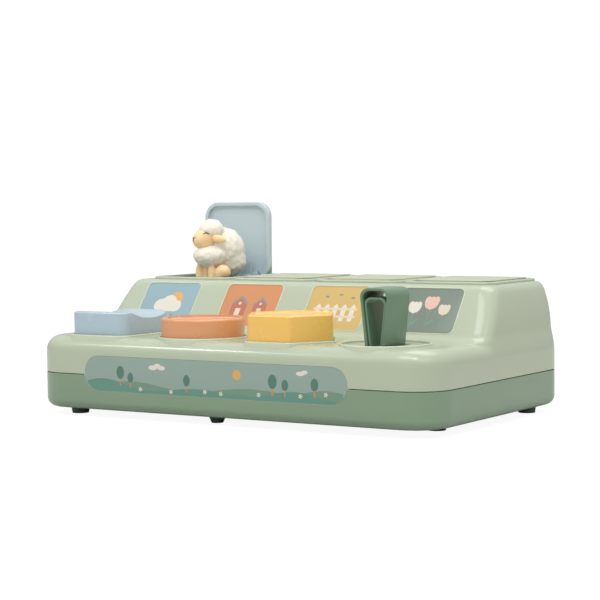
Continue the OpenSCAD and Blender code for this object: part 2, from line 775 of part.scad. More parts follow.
// Plate under the deck: carries the rod brackets, the lever's ears, the guides and the spring cup
module mechanism_plate() {
    color(GREY_GREEN)
    difference() {
        union() {
            translate([-plate_half_w, front_y + 8, plate_z])
                cube([2 * plate_half_w, latch_y + 6 - front_y - 8, plate_t]);
            for (x = bracket_x)
                translate([x - 2, latch_y - 5, plate_z]) cube([4, 10, latch_z + 4 - plate_z]);
            for (y = [front_ear_y, rear_ear_y])
                translate([unit_x(3) - ear_w / 2, y, plate_z])
                    cube([ear_w, ear_t, deck_under - 0.4 - plate_z]);
            for (i = [1, 3], s = [-1, 1])
                translate([unit_x(i) + s * 4.6 - 0.7, control_y + 44, plate_z])
                    cube([1.4, 8, plate_t + 4.6]);
            translate([unit_x(2), control_y, plate_z - cup_depth]) cylinder(r = cup_r, h = cup_depth + 0.5);
        }
        translate([unit_x(2), control_y, plate_z - cup_depth + 2]) cylinder(r = cup_in_r, h = cup_depth + plate_t);
        translate([unit_x(2), control_y, plate_z - cup_depth - 1]) cylinder(r = stem_r + run_gap, h = 4);
        translate([unit_x(1), control_y, plate_z - 1]) cylinder(r = dial_tail_r + run_gap, h = plate_t + 2);
        for (s = plate_screw_sites)
            translate([s[0], front_y + s[1], plate_z - 1]) cylinder(r = plate_screw_d / 2 + 0.3, h = plate_t + 2);
        translate([0, front_y + case_screw_sites[4][1], plate_z - 1]) cylinder(r = boss_r + 1.5, h = plate_t + 2);
        translate([-2.5, front_y, plate_z - 1]) cube([5, case_screw_sites[4][1], plate_t + 2]);
        translate([0, latch_y, latch_z])
            rod_x(latch_rod_d / 2 + run_gap / 2, -body_w / 2, body_w / 2);
        translate([unit_x(3), 0, lever_axis_z]) rod_y(lever_pin_d / 2 + run_gap / 2, front_y + 5, rear_ear_y + 8);
        translate([unit_x(3) - 4.2, rear_ear_y - 1, plate_top]) cube([8.4, ear_t + 2, 3.9]);
        translate([unit_x(3) - groove_half_w, control_y + wedge_start - 5, plate_top - groove_depth])
            cube([2 * groove_half_w, rear_ear_y + ear_t + 2 - control_y - wedge_start + 5, groove_depth + 1]);
    }
}

module plate_screws() {
    color(STEEL)
    for (s = plate_screw_sites) translate([s[0], front_y + s[1], 0]) {
        translate([0, 0, plate_z - 1.8]) cylinder(r = plate_screw_d / 2 + 1.3, h = 1.8);
        translate([0, 0, plate_z - 0.1]) cylinder(r = plate_screw_d / 2, h = plate_t + 6);
    }
}

// ---- Slider ----
module slider_block() {
    color(BLUE)
    translate([unit_x(0), control_y, 0])
    union() {
        difference() {
            slab(rect_pts(slider_w, slider_d, slider_corner_r), control_z, control_z + slider_h);
            slab(rect_pts(slider_w - 5, slider_d - 5, slider_corner_r - 2.5), control_z - 1,
                 control_z + slider_h - scoop_depth - 2.4);
            translate([0, 0, control_z + slider_h + scoop_r - scoop_depth])
                rod_x(scoop_r, -slider_w, slider_w);
        }
        translate([-slider_stem_w / 2, -slider_stem_d / 2, deck_under - 0.4])
            cube([slider_stem_w, slider_stem_d, control_z + slider_h - scoop_depth - 1 - deck_under]);
    }
}

module slider_shoe() {
    lost = slider_travel - latch_foot_travel;
    color(GREY_GREEN)
    translate([unit_x(0), 0, 0])
    union() {
        translate([-shoe_w / 2, control_y - slider_stem_d / 2 - 3, deck_under - 0.4 - shoe_h])
            cube([shoe_w, slider_stem_d + 6, shoe_h]);
        translate([-3, control_y - 4, rod_z]) cube([6, push_end_y - lost - control_y + 4, rod_h]);
        translate([-3, control_y - 4, rod_z]) cube([6, 8, deck_under - 1 - rod_z]);
    }
}

// ---- Dial ----
module dial() {
    color(ORANGE)
    translate([unit_x(1), control_y, 0])
    union() {
        difference() {
            translate([0, 0, control_z]) cylinder(r = dial_d / 2, h = dial_h, $fn = 96);
            translate([0, 0, control_z + dial_h - 2.2]) cylinder(r = dial_d / 2 - 3.2, h = 3, $fn = 96);
            translate([0, 0, control_z - 1])
                difference() {
                    cylinder(r = dial_d / 2 - 2.4, h = dial_h - 4);
                    cylinder(r = dial_shaft_r + 2, h = dial_h);
                }
        }
        rotate([0, 0, 35])
            translate([0, 0, control_z + dial_h - 2.4]) slab(rect_pts(dial_d - 9, 10, 4.9), 0, 2.6);
        translate([0, 0, cam_z + cam_h]) cylinder(r = dial_shaft_r, h = control_z + 2 - cam_z - cam_h);
        translate([0, 0, plate_z - 1.5]) cylinder(r = dial_tail_r, h = cam_z + cam_h + 0.2 - plate_z + 1.5);
    }
}

cam_throw = latch_foot_travel / sin(60);
module dial_cam() {
    color(GREY_GREEN)
    translate([unit_x(1), control_y, cam_z])
    difference() {
        translate([-cam_throw, 0, 0]) cylinder(r = cam_r, h = cam_h);
        translate([0, 0, -1]) cylinder(r = dial_tail_r, h = cam_h + 2);
    }
}

module dial_pushrod() {
    start = control_y + cam_r + push_gap;
    color(GREY_GREEN)
    translate([unit_x(1), 0, rod_z])
    union() {
        translate([-6, start, 0]) cube([12, 3, rod_h]);
        translate([-3, start, 0]) cube([6, push_end_y - start, rod_h]);
    }
}

// ---- Push button ----
module push_button() {
    top = control_z + button_h;
    color(YELLOW)
    translate([unit_x(2), control_y, 0])
    difference() {
        slab(hex_pts(button_span / 2, button_corner_r), deck_under - 0.2, top);
        slab(hex_pts(button_span / 2 - button_wall, button_corner_r - 1.5), deck_under - 1, top - 3.4);
        slab(hex_pts(button_span / 2 - 4, button_corner_r - 1), top - 1, top + 1);
    }
}

module button_stem() {
    wedge_top = stem_disc_z + stem_disc_h;
    wedge_run = latch_foot_travel / button_travel * stem_disc_h;
    color(GREY_GREEN)
    translate([unit_x(2), 0, 0])
    union() {
        translate([0, control_y, plate_z - cup_depth - 4])
            cylinder(r = stem_r, h = control_z + button_h - 3.4 - plate_z + cup_depth + 4);
        translate([0, control_y, stem_disc_z]) cylinder(r = 8.2, h = stem_disc_h);
        along_x(-3, 3)
            polygon([[control_y, stem_disc_z], [push_end_y, stem_disc_z],
                     [push_end_y + wedge_run, wedge_top], [control_y, wedge_top]]);
    }
}

button_coil_z0 = plate_z - cup_depth + 2 + button_wire_d / 2;
button_coil_z1 = stem_disc_z - button_wire_d / 2;
button_coil_path = [for (k = [0 : button_turns * RINGS])
    [button_coil_r * cos(360 * k / RINGS), button_coil_r * sin(360 * k / RINGS),
     button_coil_z0 + (button_coil_z1 - button_coil_z0) * k / (button_turns * RINGS)]];

module button_spring() {
    color(STEEL)
    translate([unit_x(2), control_y, 0]) tube(button_coil_path, button_wire_d / 2, [0, 0, 1]);
}

// Least gap between neighbouring turns
lid_spring_gap = lid_coil_pitch - lid_wire_d;
button_spring_gap = (button_coil_z1 - button_coil_z0) / button_turns - button_wire_d;
echo(lid_spring_gap = lid_spring_gap, button_spring_gap = button_spring_gap);

// ---- Flip lever ----
// Outline of the lever seen from the front, drawn in by inset and lowered by drop; its foot passes into the deck
lever_flare = (lever_top_w - lever_foot_w) / 2 / lever_h;
function lever_pts(inset, drop = 0, low = lever_wall - lever_sink) =
    let (top = lever_h - inset - drop,
         half_top = lever_top_w / 2 - inset - drop * lever_flare,
         half_low = lever_foot_w / 2 - inset + low * lever_flare,
         r = 5.5 - inset * 0.6)
    concat([[half_low, low]],
           arc_pts(half_top - r, top - r, r, 0, 90),
           arc_pts(-half_top + r, top - r, r, 90, 180),
           [[-half_low, low]]);

module flip_lever() {
    foot_half = lever_foot_w / 2 - 1.2;
    color(GREEN)
    translate([unit_x(3), control_y, 0])
    difference() {
        union() {
            translate([0, 0, deck_h + 1])
                difference() {
                    along_y(-lever_d / 2, lever_d / 2) polygon(lever_pts(0, 0, -lever_sink));
                    along_y(-lever_d, lever_d) polygon(lever_pts(lever_wall));
                }
            translate([-foot_half, -lever_foot_d / 2, lever_axis_z - 3.3])
                cube([2 * foot_half, lever_foot_d, deck_h + 1 + lever_wall - lever_sink - lever_axis_z + 3.3]);
            lever_wedge();
        }
        translate([0, 0, lever_axis_z]) rod_y(lever_pin_d / 2 + run_gap, -lever_d, lever_d);
    }
}

// Ramp on the lever's tail: it swings to the left as the lever tips to the right
nose_gap = push_gap + 0.3;
groove_half_w = 3.9;
groove_depth = 0.7;
wedge_slope = latch_foot_travel / ((lever_axis_z - rod_z - rod_h / 2) * sin(lever_swing));
wedge_start = lever_foot_d / 2;
wedge_half_w = 4;
wedge_low_y = wedge_start + 0.5;
wedge_high_y = wedge_low_y + 2 * wedge_half_w * wedge_slope;
module lever_wedge() {
    slab([[-wedge_half_w, wedge_start - 4], [wedge_half_w, wedge_start - 4], [wedge_half_w, wedge_high_y],
          [-wedge_half_w, wedge_low_y]], rod_z, lever_axis_z - 2.5);
}

// Inner frame of the lever, open at its foot
module lever_core() {
    color(GREEN)
    translate([unit_x(3), control_y, deck_h + 1])
    difference() {
        along_y(-lever_d / 2 + core_set, lever_d / 2 - core_set) polygon(lever_pts(core_inset, core_drop));
        along_y(-lever_d, lever_d) polygon(lever_pts(core_inset + core_wall, core_drop, -lever_sink));
    }
}

module lever_pin() {
    color(STEEL)
    translate([unit_x(3), 0, lever_axis_z])
        rod_y(lever_pin_d / 2, front_ear_y, rear_ear_y + ear_t);
}

module lever_pushrod() {
    nose_half_w = 1;
    tip = control_y + wedge_low_y + (wedge_half_w + nose_half_w) * wedge_slope + nose_gap;
    bar_start = control_y + wedge_high_y + push_gap;
    color(GREY_GREEN)
    translate([unit_x(3), 0, rod_z])
    union() {
        translate([-nose_half_w, tip, 0]) cube([2 * nose_half_w, push_end_y - tip, rod_h]);
        translate([-3, bar_start, 0]) cube([6, push_end_y - bar_start, rod_h]);
    }
}

lower_shell();
upper_shell();
rubber_feet();
case_screws();
front_plaque();
panel_label(0);  // panel_label_1
panel_label(1);  // panel_label_2
panel_label(2);  // panel_label_3
panel_label(3);  // panel_label_4
well_frame(0);  // well_frame_1
well_frame(1);  // well_frame_2
well_frame(2);  // well_frame_3
well_frame(3);  // well_frame_4
hinge_pins();
lid_cover(0);  // lid_cover_1
lid_cover(1);  // lid_cover_2
lid_cover(2);  // lid_cover_3
lid_cover(3);  // lid_cover_4
lid_tray(0);  // lid_tray_1
lid_tray(1);  // lid_tray_2
lid_tray(2);  // lid_tray_3
lid_tray(3);  // lid_tray_4
lid_arm(0);  // lid_arm_1
lid_arm(1);  // lid_arm_2
lid_arm(2);  // lid_arm_3
lid_arm(3);  // lid_arm_4
lid_spring(0);  // lid_spring_1
lid_spring(1);  // lid_spring_2
lid_spring(2);  // lid_spring_3
lid_spring(3);  // lid_spring_4
sheep_figure();
cow_figure();
pig_figure();
duck_figure();
mechanism_plate();
plate_screws();
latch_rod();
latch(0);  // latch_1
latch(1);  // latch_2
latch(2);  // latch_3
latch(3);  // latch_4
slider_block();
slider_shoe();
dial();
dial_cam();
dial_pushrod();
push_button();
button_stem();
button_spring();
flip_lever();
lever_core();
lever_pin();
lever_pushrod();
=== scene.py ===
import bpy, bmesh
from math import cos, sin, tan, pi, radians, sqrt
from mathutils import Matrix, Vector, noise


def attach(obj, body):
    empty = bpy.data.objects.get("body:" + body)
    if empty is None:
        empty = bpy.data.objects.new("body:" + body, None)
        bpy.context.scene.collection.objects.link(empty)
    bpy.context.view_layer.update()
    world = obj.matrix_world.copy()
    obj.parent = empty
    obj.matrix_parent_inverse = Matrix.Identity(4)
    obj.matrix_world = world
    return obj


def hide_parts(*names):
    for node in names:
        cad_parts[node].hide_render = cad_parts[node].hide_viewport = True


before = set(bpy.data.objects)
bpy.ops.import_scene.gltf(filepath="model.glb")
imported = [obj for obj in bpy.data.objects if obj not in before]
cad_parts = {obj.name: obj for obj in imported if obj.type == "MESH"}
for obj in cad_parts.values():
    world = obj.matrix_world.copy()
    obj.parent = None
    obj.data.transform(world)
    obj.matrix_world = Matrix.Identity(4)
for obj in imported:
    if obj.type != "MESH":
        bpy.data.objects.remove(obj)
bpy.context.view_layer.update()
print("frame loaded")


# small tools
def toLinear(hexColour):
    out = []
    for k in (1, 3, 5):
        c = int(hexColour[k:k + 2], 16) / 255
        out.append(c / 12.92 if c <= 0.04045 else ((c + 0.055) / 1.055) ** 2.4)
    return (*out, 1)


def addNode(tree, kind, settings=None, values=None, links=None):
    node = tree.nodes.new(kind)
    for key, value in (settings or {}).items():
        setattr(node, key, value)
    for key, value in (values or {}).items():
        node.inputs[key].default_value = value
    for key, source in (links or {}).items():
        tree.links.new(source, node.inputs[key])
    return node


plasticGrain = dict(cloudScale=22, rubScale=60, peelHeight=0.0002, ior=1.5, coatRoughness=0.12)


def mouldedPlastic(name, colour, roughness=0.3, tint=0.03, peel=0.05, peelMm=1.1, mottle=0.02, coat=0.25):
    # injection moulded plastic: even colour, a fine orange peel from the mould and a soft gloss
    mat = bpy.data.materials.new(name)
    mat.use_nodes = True
    tree = mat.node_tree
    shader = tree.nodes["Principled BSDF"]
    place = addNode(tree, "ShaderNodeTexCoord").outputs["Object"]
    cloud = addNode(tree, "ShaderNodeTexNoise", values={"Scale": plasticGrain["cloudScale"], "Detail": 3},
                    links={"Vector": place})
    base = toLinear(colour)
    low = tuple(c * (1 - tint) for c in base[:3]) + (1,)
    high = tuple(min(1, c * (1 + tint)) for c in base[:3]) + (1,)
    ramp = addNode(tree, "ShaderNodeMix", {"data_type": "RGBA"}, {"A": low, "B": high},
                   {"Factor": cloud.outputs["Fac"]})
    tree.links.new(ramp.outputs["Result"], shader.inputs["Base Color"])
    grain = addNode(tree, "ShaderNodeTexNoise", values={"Scale": 1000 / peelMm, "Detail": 2},
                    links={"Vector": place})
    bump = addNode(tree, "ShaderNodeBump", values={"Strength": peel, "Distance": plasticGrain["peelHeight"]},
                   links={"Height": grain.outputs["Fac"]})
    tree.links.new(bump.outputs["Normal"], shader.inputs["Normal"])
    rub = addNode(tree, "ShaderNodeTexNoise", values={"Scale": plasticGrain["rubScale"], "Detail": 4},
                  links={"Vector": place})
    rough = addNode(tree, "ShaderNodeMapRange",
                    values={"To Min": roughness - mottle, "To Max": roughness + mottle},
                    links={"Value": rub.outputs["Fac"]})
    tree.links.new(rough.outputs["Result"], shader.inputs["Roughness"])
    shader.inputs["IOR"].default_value = plasticGrain["ior"]
    if coat:
        shader.inputs["Coat Weight"].default_value = coat
        shader.inputs["Coat Roughness"].default_value = plasticGrain["coatRoughness"]
    return mat


def rectFace(w, d, r, seg=8):
    # a flat rectangle round the origin with rounded corners
    bm = bmesh.new()
    verts = bmesh.ops.create_grid(bm, x_segments=1, y_segments=1, size=0.5)["verts"]
    bmesh.ops.scale(bm, vec=(w, d, 1), verts=verts)
    if r:
        bmesh.ops.bevel(bm, geom=verts, offset=r, segments=seg, profile=0.5, affect="VERTICES", material=-1)
    return bm


def ringFace(radius, sides, cornerR=0, seg=5, turn=0):
    # a flat circle or polygon, its corners rounded where asked
    bm = bmesh.new()
    verts = bmesh.ops.create_circle(bm, cap_ends=True, segments=sides, radius=radius)["verts"]
    bmesh.ops.rotate(bm, verts=verts, cent=(0, 0, 0), matrix=Matrix.Rotation(turn, 3, "Z"))
    if cornerR:
        bmesh.ops.bevel(bm, geom=verts, offset=cornerR * tan(pi / sides), segments=seg, profile=0.5,
                        affect="VERTICES", material=-1)
    return bm


def outlineFace(points):
    bm = bmesh.new()
    bm.faces.new([bm.verts.new((x, y, 0)) for x, y in points])
    return bm


def roundEdges(bm, radius, seg, pick):
    if radius <= 0:
        return
    edges = [e for e in bm.edges if pick(e)]
    bmesh.ops.bevel(bm, geom=edges, offset=radius, offset_type="OFFSET", segments=seg, profile=0.5,
                    affect="EDGES", material=-1, clamp_overlap=True)


def atHeight(z):
    # picks the sharp edges that lie at one height
    return lambda e: (all(abs(v.co.z - z) < 1e-4 for v in e.verts) and len(e.link_faces) == 2
                      and e.calc_face_angle(0) > 0.5)


def raised(bm, z0, z1, topR=0, baseR=0, seg=4):
    # a flat outline becomes a closed plate from z0 to z1 with rounded upper and lower edges
    bmesh.ops.translate(bm, vec=(0, 0, z0), verts=bm.verts)
    new = bmesh.ops.extrude_face_region(bm, geom=list(bm.faces), use_keep_orig=True)["geom"]
    lifted = [g for g in new if isinstance(g, bmesh.types.BMVert)]
    bmesh.ops.translate(bm, vec=(0, 0, z1 - z0), verts=lifted)
    bmesh.ops.recalc_face_normals(bm, faces=bm.faces)
    roundEdges(bm, topR, seg, atHeight(z1))
    roundEdges(bm, baseR, seg, atHeight(z0))
    return bm


def hollowed(bm, width):
    # leaves only a band of the outline, as wide as asked
    middle = list(bm.faces)
    bmesh.ops.inset_region(bm, faces=middle, thickness=width, use_even_offset=True, use_boundary=True)
    bmesh.ops.delete(bm, geom=middle, context="FACES")
    return bm


def sunk(bm, z, rim, depth, edgeR=0.5, seg=3):
    # presses a hollow into the flat top at height z and leaves a rim round it
    top = max((f for f in bm.faces if f.normal.z > 0.99 and abs(f.calc_center_median().z - z) < 1e-3),
              key=lambda f: f.calc_area())
    bmesh.ops.inset_region(bm, faces=[top], thickness=rim, use_even_offset=True)
    verts = list(top.verts)
    bmesh.ops.inset_region(bm, faces=[top], thickness=0.5, use_even_offset=True)
    bmesh.ops.translate(bm, vec=(0, 0, -depth), verts=list(top.verts))
    loop = [e for e in bm.edges if all(v in verts for v in e.verts)]
    if edgeR:
        bmesh.ops.bevel(bm, geom=loop, offset=edgeR, segments=seg, profile=0.5, affect="EDGES", material=-1)
    return bm


def shifted(bm, x=0, y=0, z=0):
    bmesh.ops.translate(bm, vec=(x, y, z), verts=bm.verts)
    return bm


def placed(bm, matrix):
    bmesh.ops.transform(bm, matrix=matrix, verts=bm.verts)
    return bm


def together(*parts):
    whole = bmesh.new()
    for part in parts:
        mesh = bpy.data.meshes.new("part")
        part.to_mesh(mesh)
        part.free()
        whole.from_mesh(mesh)
        bpy.data.meshes.remove(mesh)
    return whole


def rod(radius, length, seg=32, edgeR=0.0, along="Z"):
    bm = raised(ringFace(radius, seg), -length / 2, length / 2, edgeR, edgeR, 3)
    turns = {"X": Matrix.Rotation(pi / 2, 4, "Y"), "Y": Matrix.Rotation(pi / 2, 4, "X"),
             "Z": Matrix.Identity(4)}
    return placed(bm, turns[along])


def hexPrism(radius, cornerR, cornerSeg, z0, z1, *edges):
    # a six-sided plate with a flat side to the front
    return raised(ringFace(radius, 6, cornerR, cornerSeg, pi / 6), z0, z1, *edges)


def cutterBox(x0, x1, y0, y1, z0, z1):
    bm = bmesh.new()
    verts = bmesh.ops.create_cube(bm, size=1)["verts"]
    bmesh.ops.scale(bm, vec=(x1 - x0, y1 - y0, z1 - z0), verts=verts)
    bmesh.ops.translate(bm, vec=((x0 + x1) / 2, (y0 + y1) / 2, (z0 + z1) / 2), verts=verts)
    return bm


def toObject(name, bm, toMetres=True):
    if toMetres:
        bmesh.ops.scale(bm, vec=(0.001, 0.001, 0.001), verts=bm.verts)
    mesh = bpy.data.meshes.new(name)
    bm.to_mesh(mesh)
    bm.free()
    obj = bpy.data.objects.new(name, mesh)
    bpy.context.scene.collection.objects.link(obj)
    return obj


def settle(obj):
    # turns what the modifiers give into the object's own mesh
    mesh = bpy.data.meshes.new_from_object(obj.evaluated_get(bpy.context.evaluated_depsgraph_get()))
    obj.modifiers.clear()
    obj.data = mesh
    return obj


def cutAway(obj, cutters, keep="DIFFERENCE"):
    tools = [toObject("cutter", c) for c in cutters]
    for tool in tools:
        mod = obj.modifiers.new("cut", "BOOLEAN")
        mod.operation, mod.solver, mod.object = keep, "EXACT", tool
    settle(obj)
    for tool in tools:
        bpy.data.objects.remove(tool)
    return obj


def softened(obj, width, seg=3, angle=35):
    mod = obj.modifiers.new("round", "BEVEL")
    mod.width, mod.segments, mod.limit_method, mod.angle_limit = width / 1000, seg, "ANGLE", radians(angle)
    mod.harden_normals = False
    return settle(obj)


def dress(obj, body, materials, replaced=(), sharp=32):
    if len(obj.data.materials):
        obj.data.materials.clear()
    for mat in materials if isinstance(materials, (list, tuple)) else [materials]:
        obj.data.materials.append(mat)
    obj.data.shade_smooth()
    obj.data.set_sharp_from_angle(angle=radians(sharp))
    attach(obj, body)
    if replaced:
        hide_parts(*([replaced] if isinstance(replaced, str) else replaced))
    return obj


def piece(name, bm, body, materials, replaced=(), sharp=32):
    bmesh.ops.remove_doubles(bm, verts=bm.verts, dist=1e-5)
    bmesh.ops.recalc_face_normals(bm, faces=bm.faces)
    return dress(toObject(name, bm), body, materials, replaced, sharp)


# moulded plastics of the shells, the controls and the lids
sageAbs = mouldedPlastic("sageMouldedAbs", "#b2bca4", 0.24, 0.02, 0.04, 1.2)
# a paler copy of the sage for the lips and the edges round the films: a painted highlight of light catching
# these narrow rims
sageRimHighlightAbs = mouldedPlastic("sageRimPaintedHighlight", "#c6ceb5", 0.22, 0.02, 0.04, 1.2)
sageLidAbs = mouldedPlastic("sageLidAbs", "#b4bda3", 0.42, 0.02, 0.04, 1.2, 0.02, 0)
darkSageAbs = mouldedPlastic("darkSageMouldedAbs", "#7f967b", 0.28, 0.02, 0.03, 1.2, 0.01)
blueAbs = mouldedPlastic("blueMouldedAbs", "#adc1cb", 0.27, 0.02, 0.04, 1.0)
orangeAbs = mouldedPlastic("orangeMouldedAbs", "#db9a6c", 0.27, 0.02, 0.04, 1.0)
yellowAbs = mouldedPlastic("yellowMouldedAbs", "#f0c062", 0.27, 0.02, 0.04, 1.0)
greenAbs = mouldedPlastic("greenMouldedAbs", "#68846a", 0.32, 0.03, 0.05, 1.0)
greyGreenAbs = mouldedPlastic("greyGreenMouldedAbs", "#87988a", 0.3, 0.02, 0.05, 1.0)
lidAbs = [mouldedPlastic("lidBlueAbs", "#c0d0d6", 0.36, 0.015, 0.05, 1.1), orangeAbs, yellowAbs, greyGreenAbs]


def spunSteel(name, colour, roughness):
    # drawn steel wire and turned pins: a fine grain and a soft metal shine
    mat = mouldedPlastic(name, colour, roughness, 0.05, 0.08, 0.4, 0.05)
    mat.node_tree.nodes["Principled BSDF"].inputs["Metallic"].default_value = 1
    return mat


def matRubber(name, colour):
    # moulded rubber: nearly matt, with a fine blasted grain
    return mouldedPlastic(name, colour, 0.62, 0.05, 0.25, 0.5, 0.05)


steelWire = spunSteel("drawnSteel", "#b5b8ba", 0.32)
footRubber = matRubber("mouldedRubber", "#5a6960")


def printedFilm(name, colour, grainTint=0.045):
    # screen printed film: flat ink with a faint paper-like tooth, under a satin lacquer
    return mouldedPlastic(name, colour, 0.38, grainTint, 0.03, 0.6, 0.03)


# housing: the body in plan, the deck, the sloped panel wall and the rear house, in mm
shell = dict(halfW=150, halfD=93, cornerR=25, deckZ=52, edgeR=10, edgeFootZ=42, wallFootY=-21, wallSlope=0.74,
             foldR=12, foldLean=53.5, topZ=85, topR=4, frontCornerR=10, turnFrom=-42, turnTo=-9, wall=2.4,
             baseZ=5, baseR=6, seamLowZ=27.8, seamHighZ=28.18, seamR=0.28)
controlX = [-100.5, -33.5, 33.5, 100.5]
controlY = -61
hingeY, hingeZ = 75.6, 82.6


def smoothStep(t):
    t = min(1, max(0, t))
    return t * t * (3 - 2 * t)


def stations():
    # places round the right half of the body, from the middle of the front to the middle of the rear
    places = [("front", k / 10) for k in range(10)] + [("corner", k / 12) for k in range(12)]
    places += [("flank", k / 8) for k in range(8)] + [("turn", k / 14) for k in range(14)]
    places += [("side", k / 9) for k in range(9)] + [("rearCorner", k / 12) for k in range(12)]
    return places + [("rear", k / 8) for k in range(9)]


def arcNormal(degreesUp):
    return Vector((cos(radians(degreesUp)), sin(radians(degreesUp))))


def bodyPoint(kind, t):
    # a place on the body's outline, and the way that it faces
    w, d, r = shell["halfW"], shell["halfD"], shell["cornerR"]
    if kind == "front":
        return Vector((t * (w - r), -d)), Vector((0, -1))
    if kind == "corner":
        return Vector((w - r, r - d)) + r * arcNormal(90 * t - 90), arcNormal(90 * t - 90)
    spans = {"flank": (r - d, shell["turnFrom"]), "turn": (shell["turnFrom"], shell["turnTo"]),
             "side": (shell["turnTo"], d - r)}
    if kind in spans:
        y0, y1 = spans[kind]
        return Vector((w, y0 + t * (y1 - y0))), Vector((1, 0))
    if kind == "rearCorner":
        return Vector((w - r, d - r)) + r * arcNormal(90 * t), arcNormal(90 * t)
    return Vector(((1 - t) * (w - r), d)), Vector((0, 1))


def sideInset(z):
    # how far the right and left walls stand in from the widest place
    if z >= 57:
        s = (z - 52) / 32
        return 2.5 + 1.464 * s + 5.536 * s * s
    u = max(0, (z - 41) / 16)
    end, slope = sideInset(57), 0.099 * 16
    return (3 * u * u - 2 * u ** 3) * end + (u ** 3 - u * u) * slope


def rearInset(z):
    return 2.5 * smoothStep((z - 42) / 60) * 1.6 if z > 42 else 0


def housePoint(kind, t, z):
    # the same for the rear house at height z, whose front is the panel wall
    x = shell["halfW"] - sideInset(z)
    front = shell["wallFootY"] + shell["wallSlope"] * (z - 52)
    rear = shell["halfD"] - rearInset(z)
    rf = shell["frontCornerR"]
    rr = 25 - 6 * smoothStep((z - 42) / 42)
    shares = {"front": (0, 0.8), "corner": (0.8, 0.92), "flank": (0.92, 1)}
    if kind in shares:
        a, b = shares[kind]
        return Vector(((a + t * (b - a)) * (x - rf), front)), Vector((0, -1))
    if kind == "turn":
        return Vector((x - rf, front + rf)) + rf * arcNormal(90 * t - 90), arcNormal(90 * t - 90)
    if kind == "side":
        return Vector((x, front + rf + t * (rear - rr - front - rf))), Vector((1, 0))
    if kind == "rearCorner":
        return Vector((x - rr, rear - rr)) + rr * arcNormal(90 * t), arcNormal(90 * t)
    return Vector(((1 - t) * (x - rr), rear)), Vector((0, 1))


def wallPoint(kind, t, z):
    # the panel wall and the house; low on the side, behind the turn, it runs over into the body's side
    if kind == "side" and z < 60:
        low, high = bodyPoint(kind, t)[0], housePoint(kind, t, 60)[0]
        return Vector((shell["halfW"] - sideInset(z), low.y + (high.y - low.y) * smoothStep((z - 42) / 18)))
    return housePoint(kind, t, z)[0]


def turnShares(kind, t):
    # how far a station belongs to the side, and how far the fold at the wall's foot still faces it
    if kind in ("front", "corner", "flank"):
        return 0, 1
    if kind == "turn":
        return sin(radians(90 * t)) ** 2, 1 - smoothStep(1.25 * t)
    return 1, 0


def edgeRing(places, k, steps):
    # one ring of the rounding from the body's side up to the deck
    edge, foot = shell["edgeR"], shell["edgeFootZ"]
    a = radians(90 * k / steps)
    sideZ = 41 + 8.5 * k / steps
    ring = []
    for kind, t in places:
        s, facing = turnShares(kind, t)
        if s == 1:
            ring.append((*wallPoint(kind, t, sideZ), sideZ))
            continue
        spot, n = bodyPoint(kind, t)
        inset = edge * (1 - cos(a)) * (1 - s) + sideInset(sideZ) * s
        ring.append((*(spot - n * inset), (foot + 10 * sin(a)) * (1 - s) + sideZ * s))
    return ring


def foldReach():
    return shell["foldR"] * tan(radians(shell["foldLean"] / 2))


def foldStartRing(places):
    # where the deck ends and the fold up to the panel wall begins
    ring = []
    for kind, t in places:
        s, facing = turnShares(kind, t)
        z = shell["deckZ"] * facing + 52.6 * (1 - facing)
        ring.append((*(wallPoint(kind, t, z) - Vector((0, 1)) * foldReach() * facing), z))
    return ring


def deckRing(places, outer, inner, u):
    ring = []
    for p, q, (kind, t) in zip(outer, inner, places):
        z = p[2] + (q[2] - p[2]) * u
        level = Vector(p[:2]) + (Vector(q[:2]) - Vector(p[:2])) * u
        ring.append((*(level if turnShares(kind, t)[0] < 1 else wallPoint(kind, t, z)), z))
    return ring


def foldRing(places, k, steps):
    a = radians(shell["foldLean"] * k / steps)
    zf = shell["deckZ"] + shell["foldR"] * (1 - cos(a))
    out = shell["wallSlope"] * (zf - 52) + foldReach() - shell["foldR"] * sin(a)
    ring = []
    for kind, t in places:
        s, facing = turnShares(kind, t)
        z = zf * facing + (52.6 + 4.8 * k / steps) * (1 - facing)
        ring.append((*(wallPoint(kind, t, z) - Vector((0, 1)) * out * facing), z))
    return ring


def roofRing(places, u):
    # one ring of the rounding between the house's walls and its roof
    top, r = shell["topZ"], shell["topR"]
    ring = []
    for kind, t in places:
        low, n = housePoint(kind, t, 80)
        high, n = housePoint(kind, t, top)
        spot = low * (1 - u) ** 2 + high * 2 * u * (1 - u) + (high - n * r) * u * u
        ring.append((*spot, 80 * (1 - u) ** 2 + top * (1 - (1 - u) ** 2)))
    return ring


def shellRings():
    places = stations()
    rings = []
    seam, r = shell["seamHighZ"], shell["seamR"]
    for inset, z in ((1.0, seam), (r, seam), (0, seam + r), (0, 35), (0, 41)):
        rings.append([(*(bodyPoint(*p)[0] - bodyPoint(*p)[1] * inset), z) for p in places])
    rings += [edgeRing(places, k, 8) for k in range(1, 9)]
    outer, inner = rings[-1], foldStartRing(places)
    rings += [deckRing(places, outer, inner, k / 5) for k in range(1, 6)]
    rings += [foldRing(places, k, 7) for k in range(1, 8)]
    rings += [[(*housePoint(kind, t, z)[0], z) for kind, t in places] for z in (60, 64, 68, 72, 76, 80)]
    rings += [roofRing(places, k / 7) for k in range(1, 8)]
    return [ring + [(-x, y, z) for x, y, z in reversed(ring[1:-1])] for ring in rings]


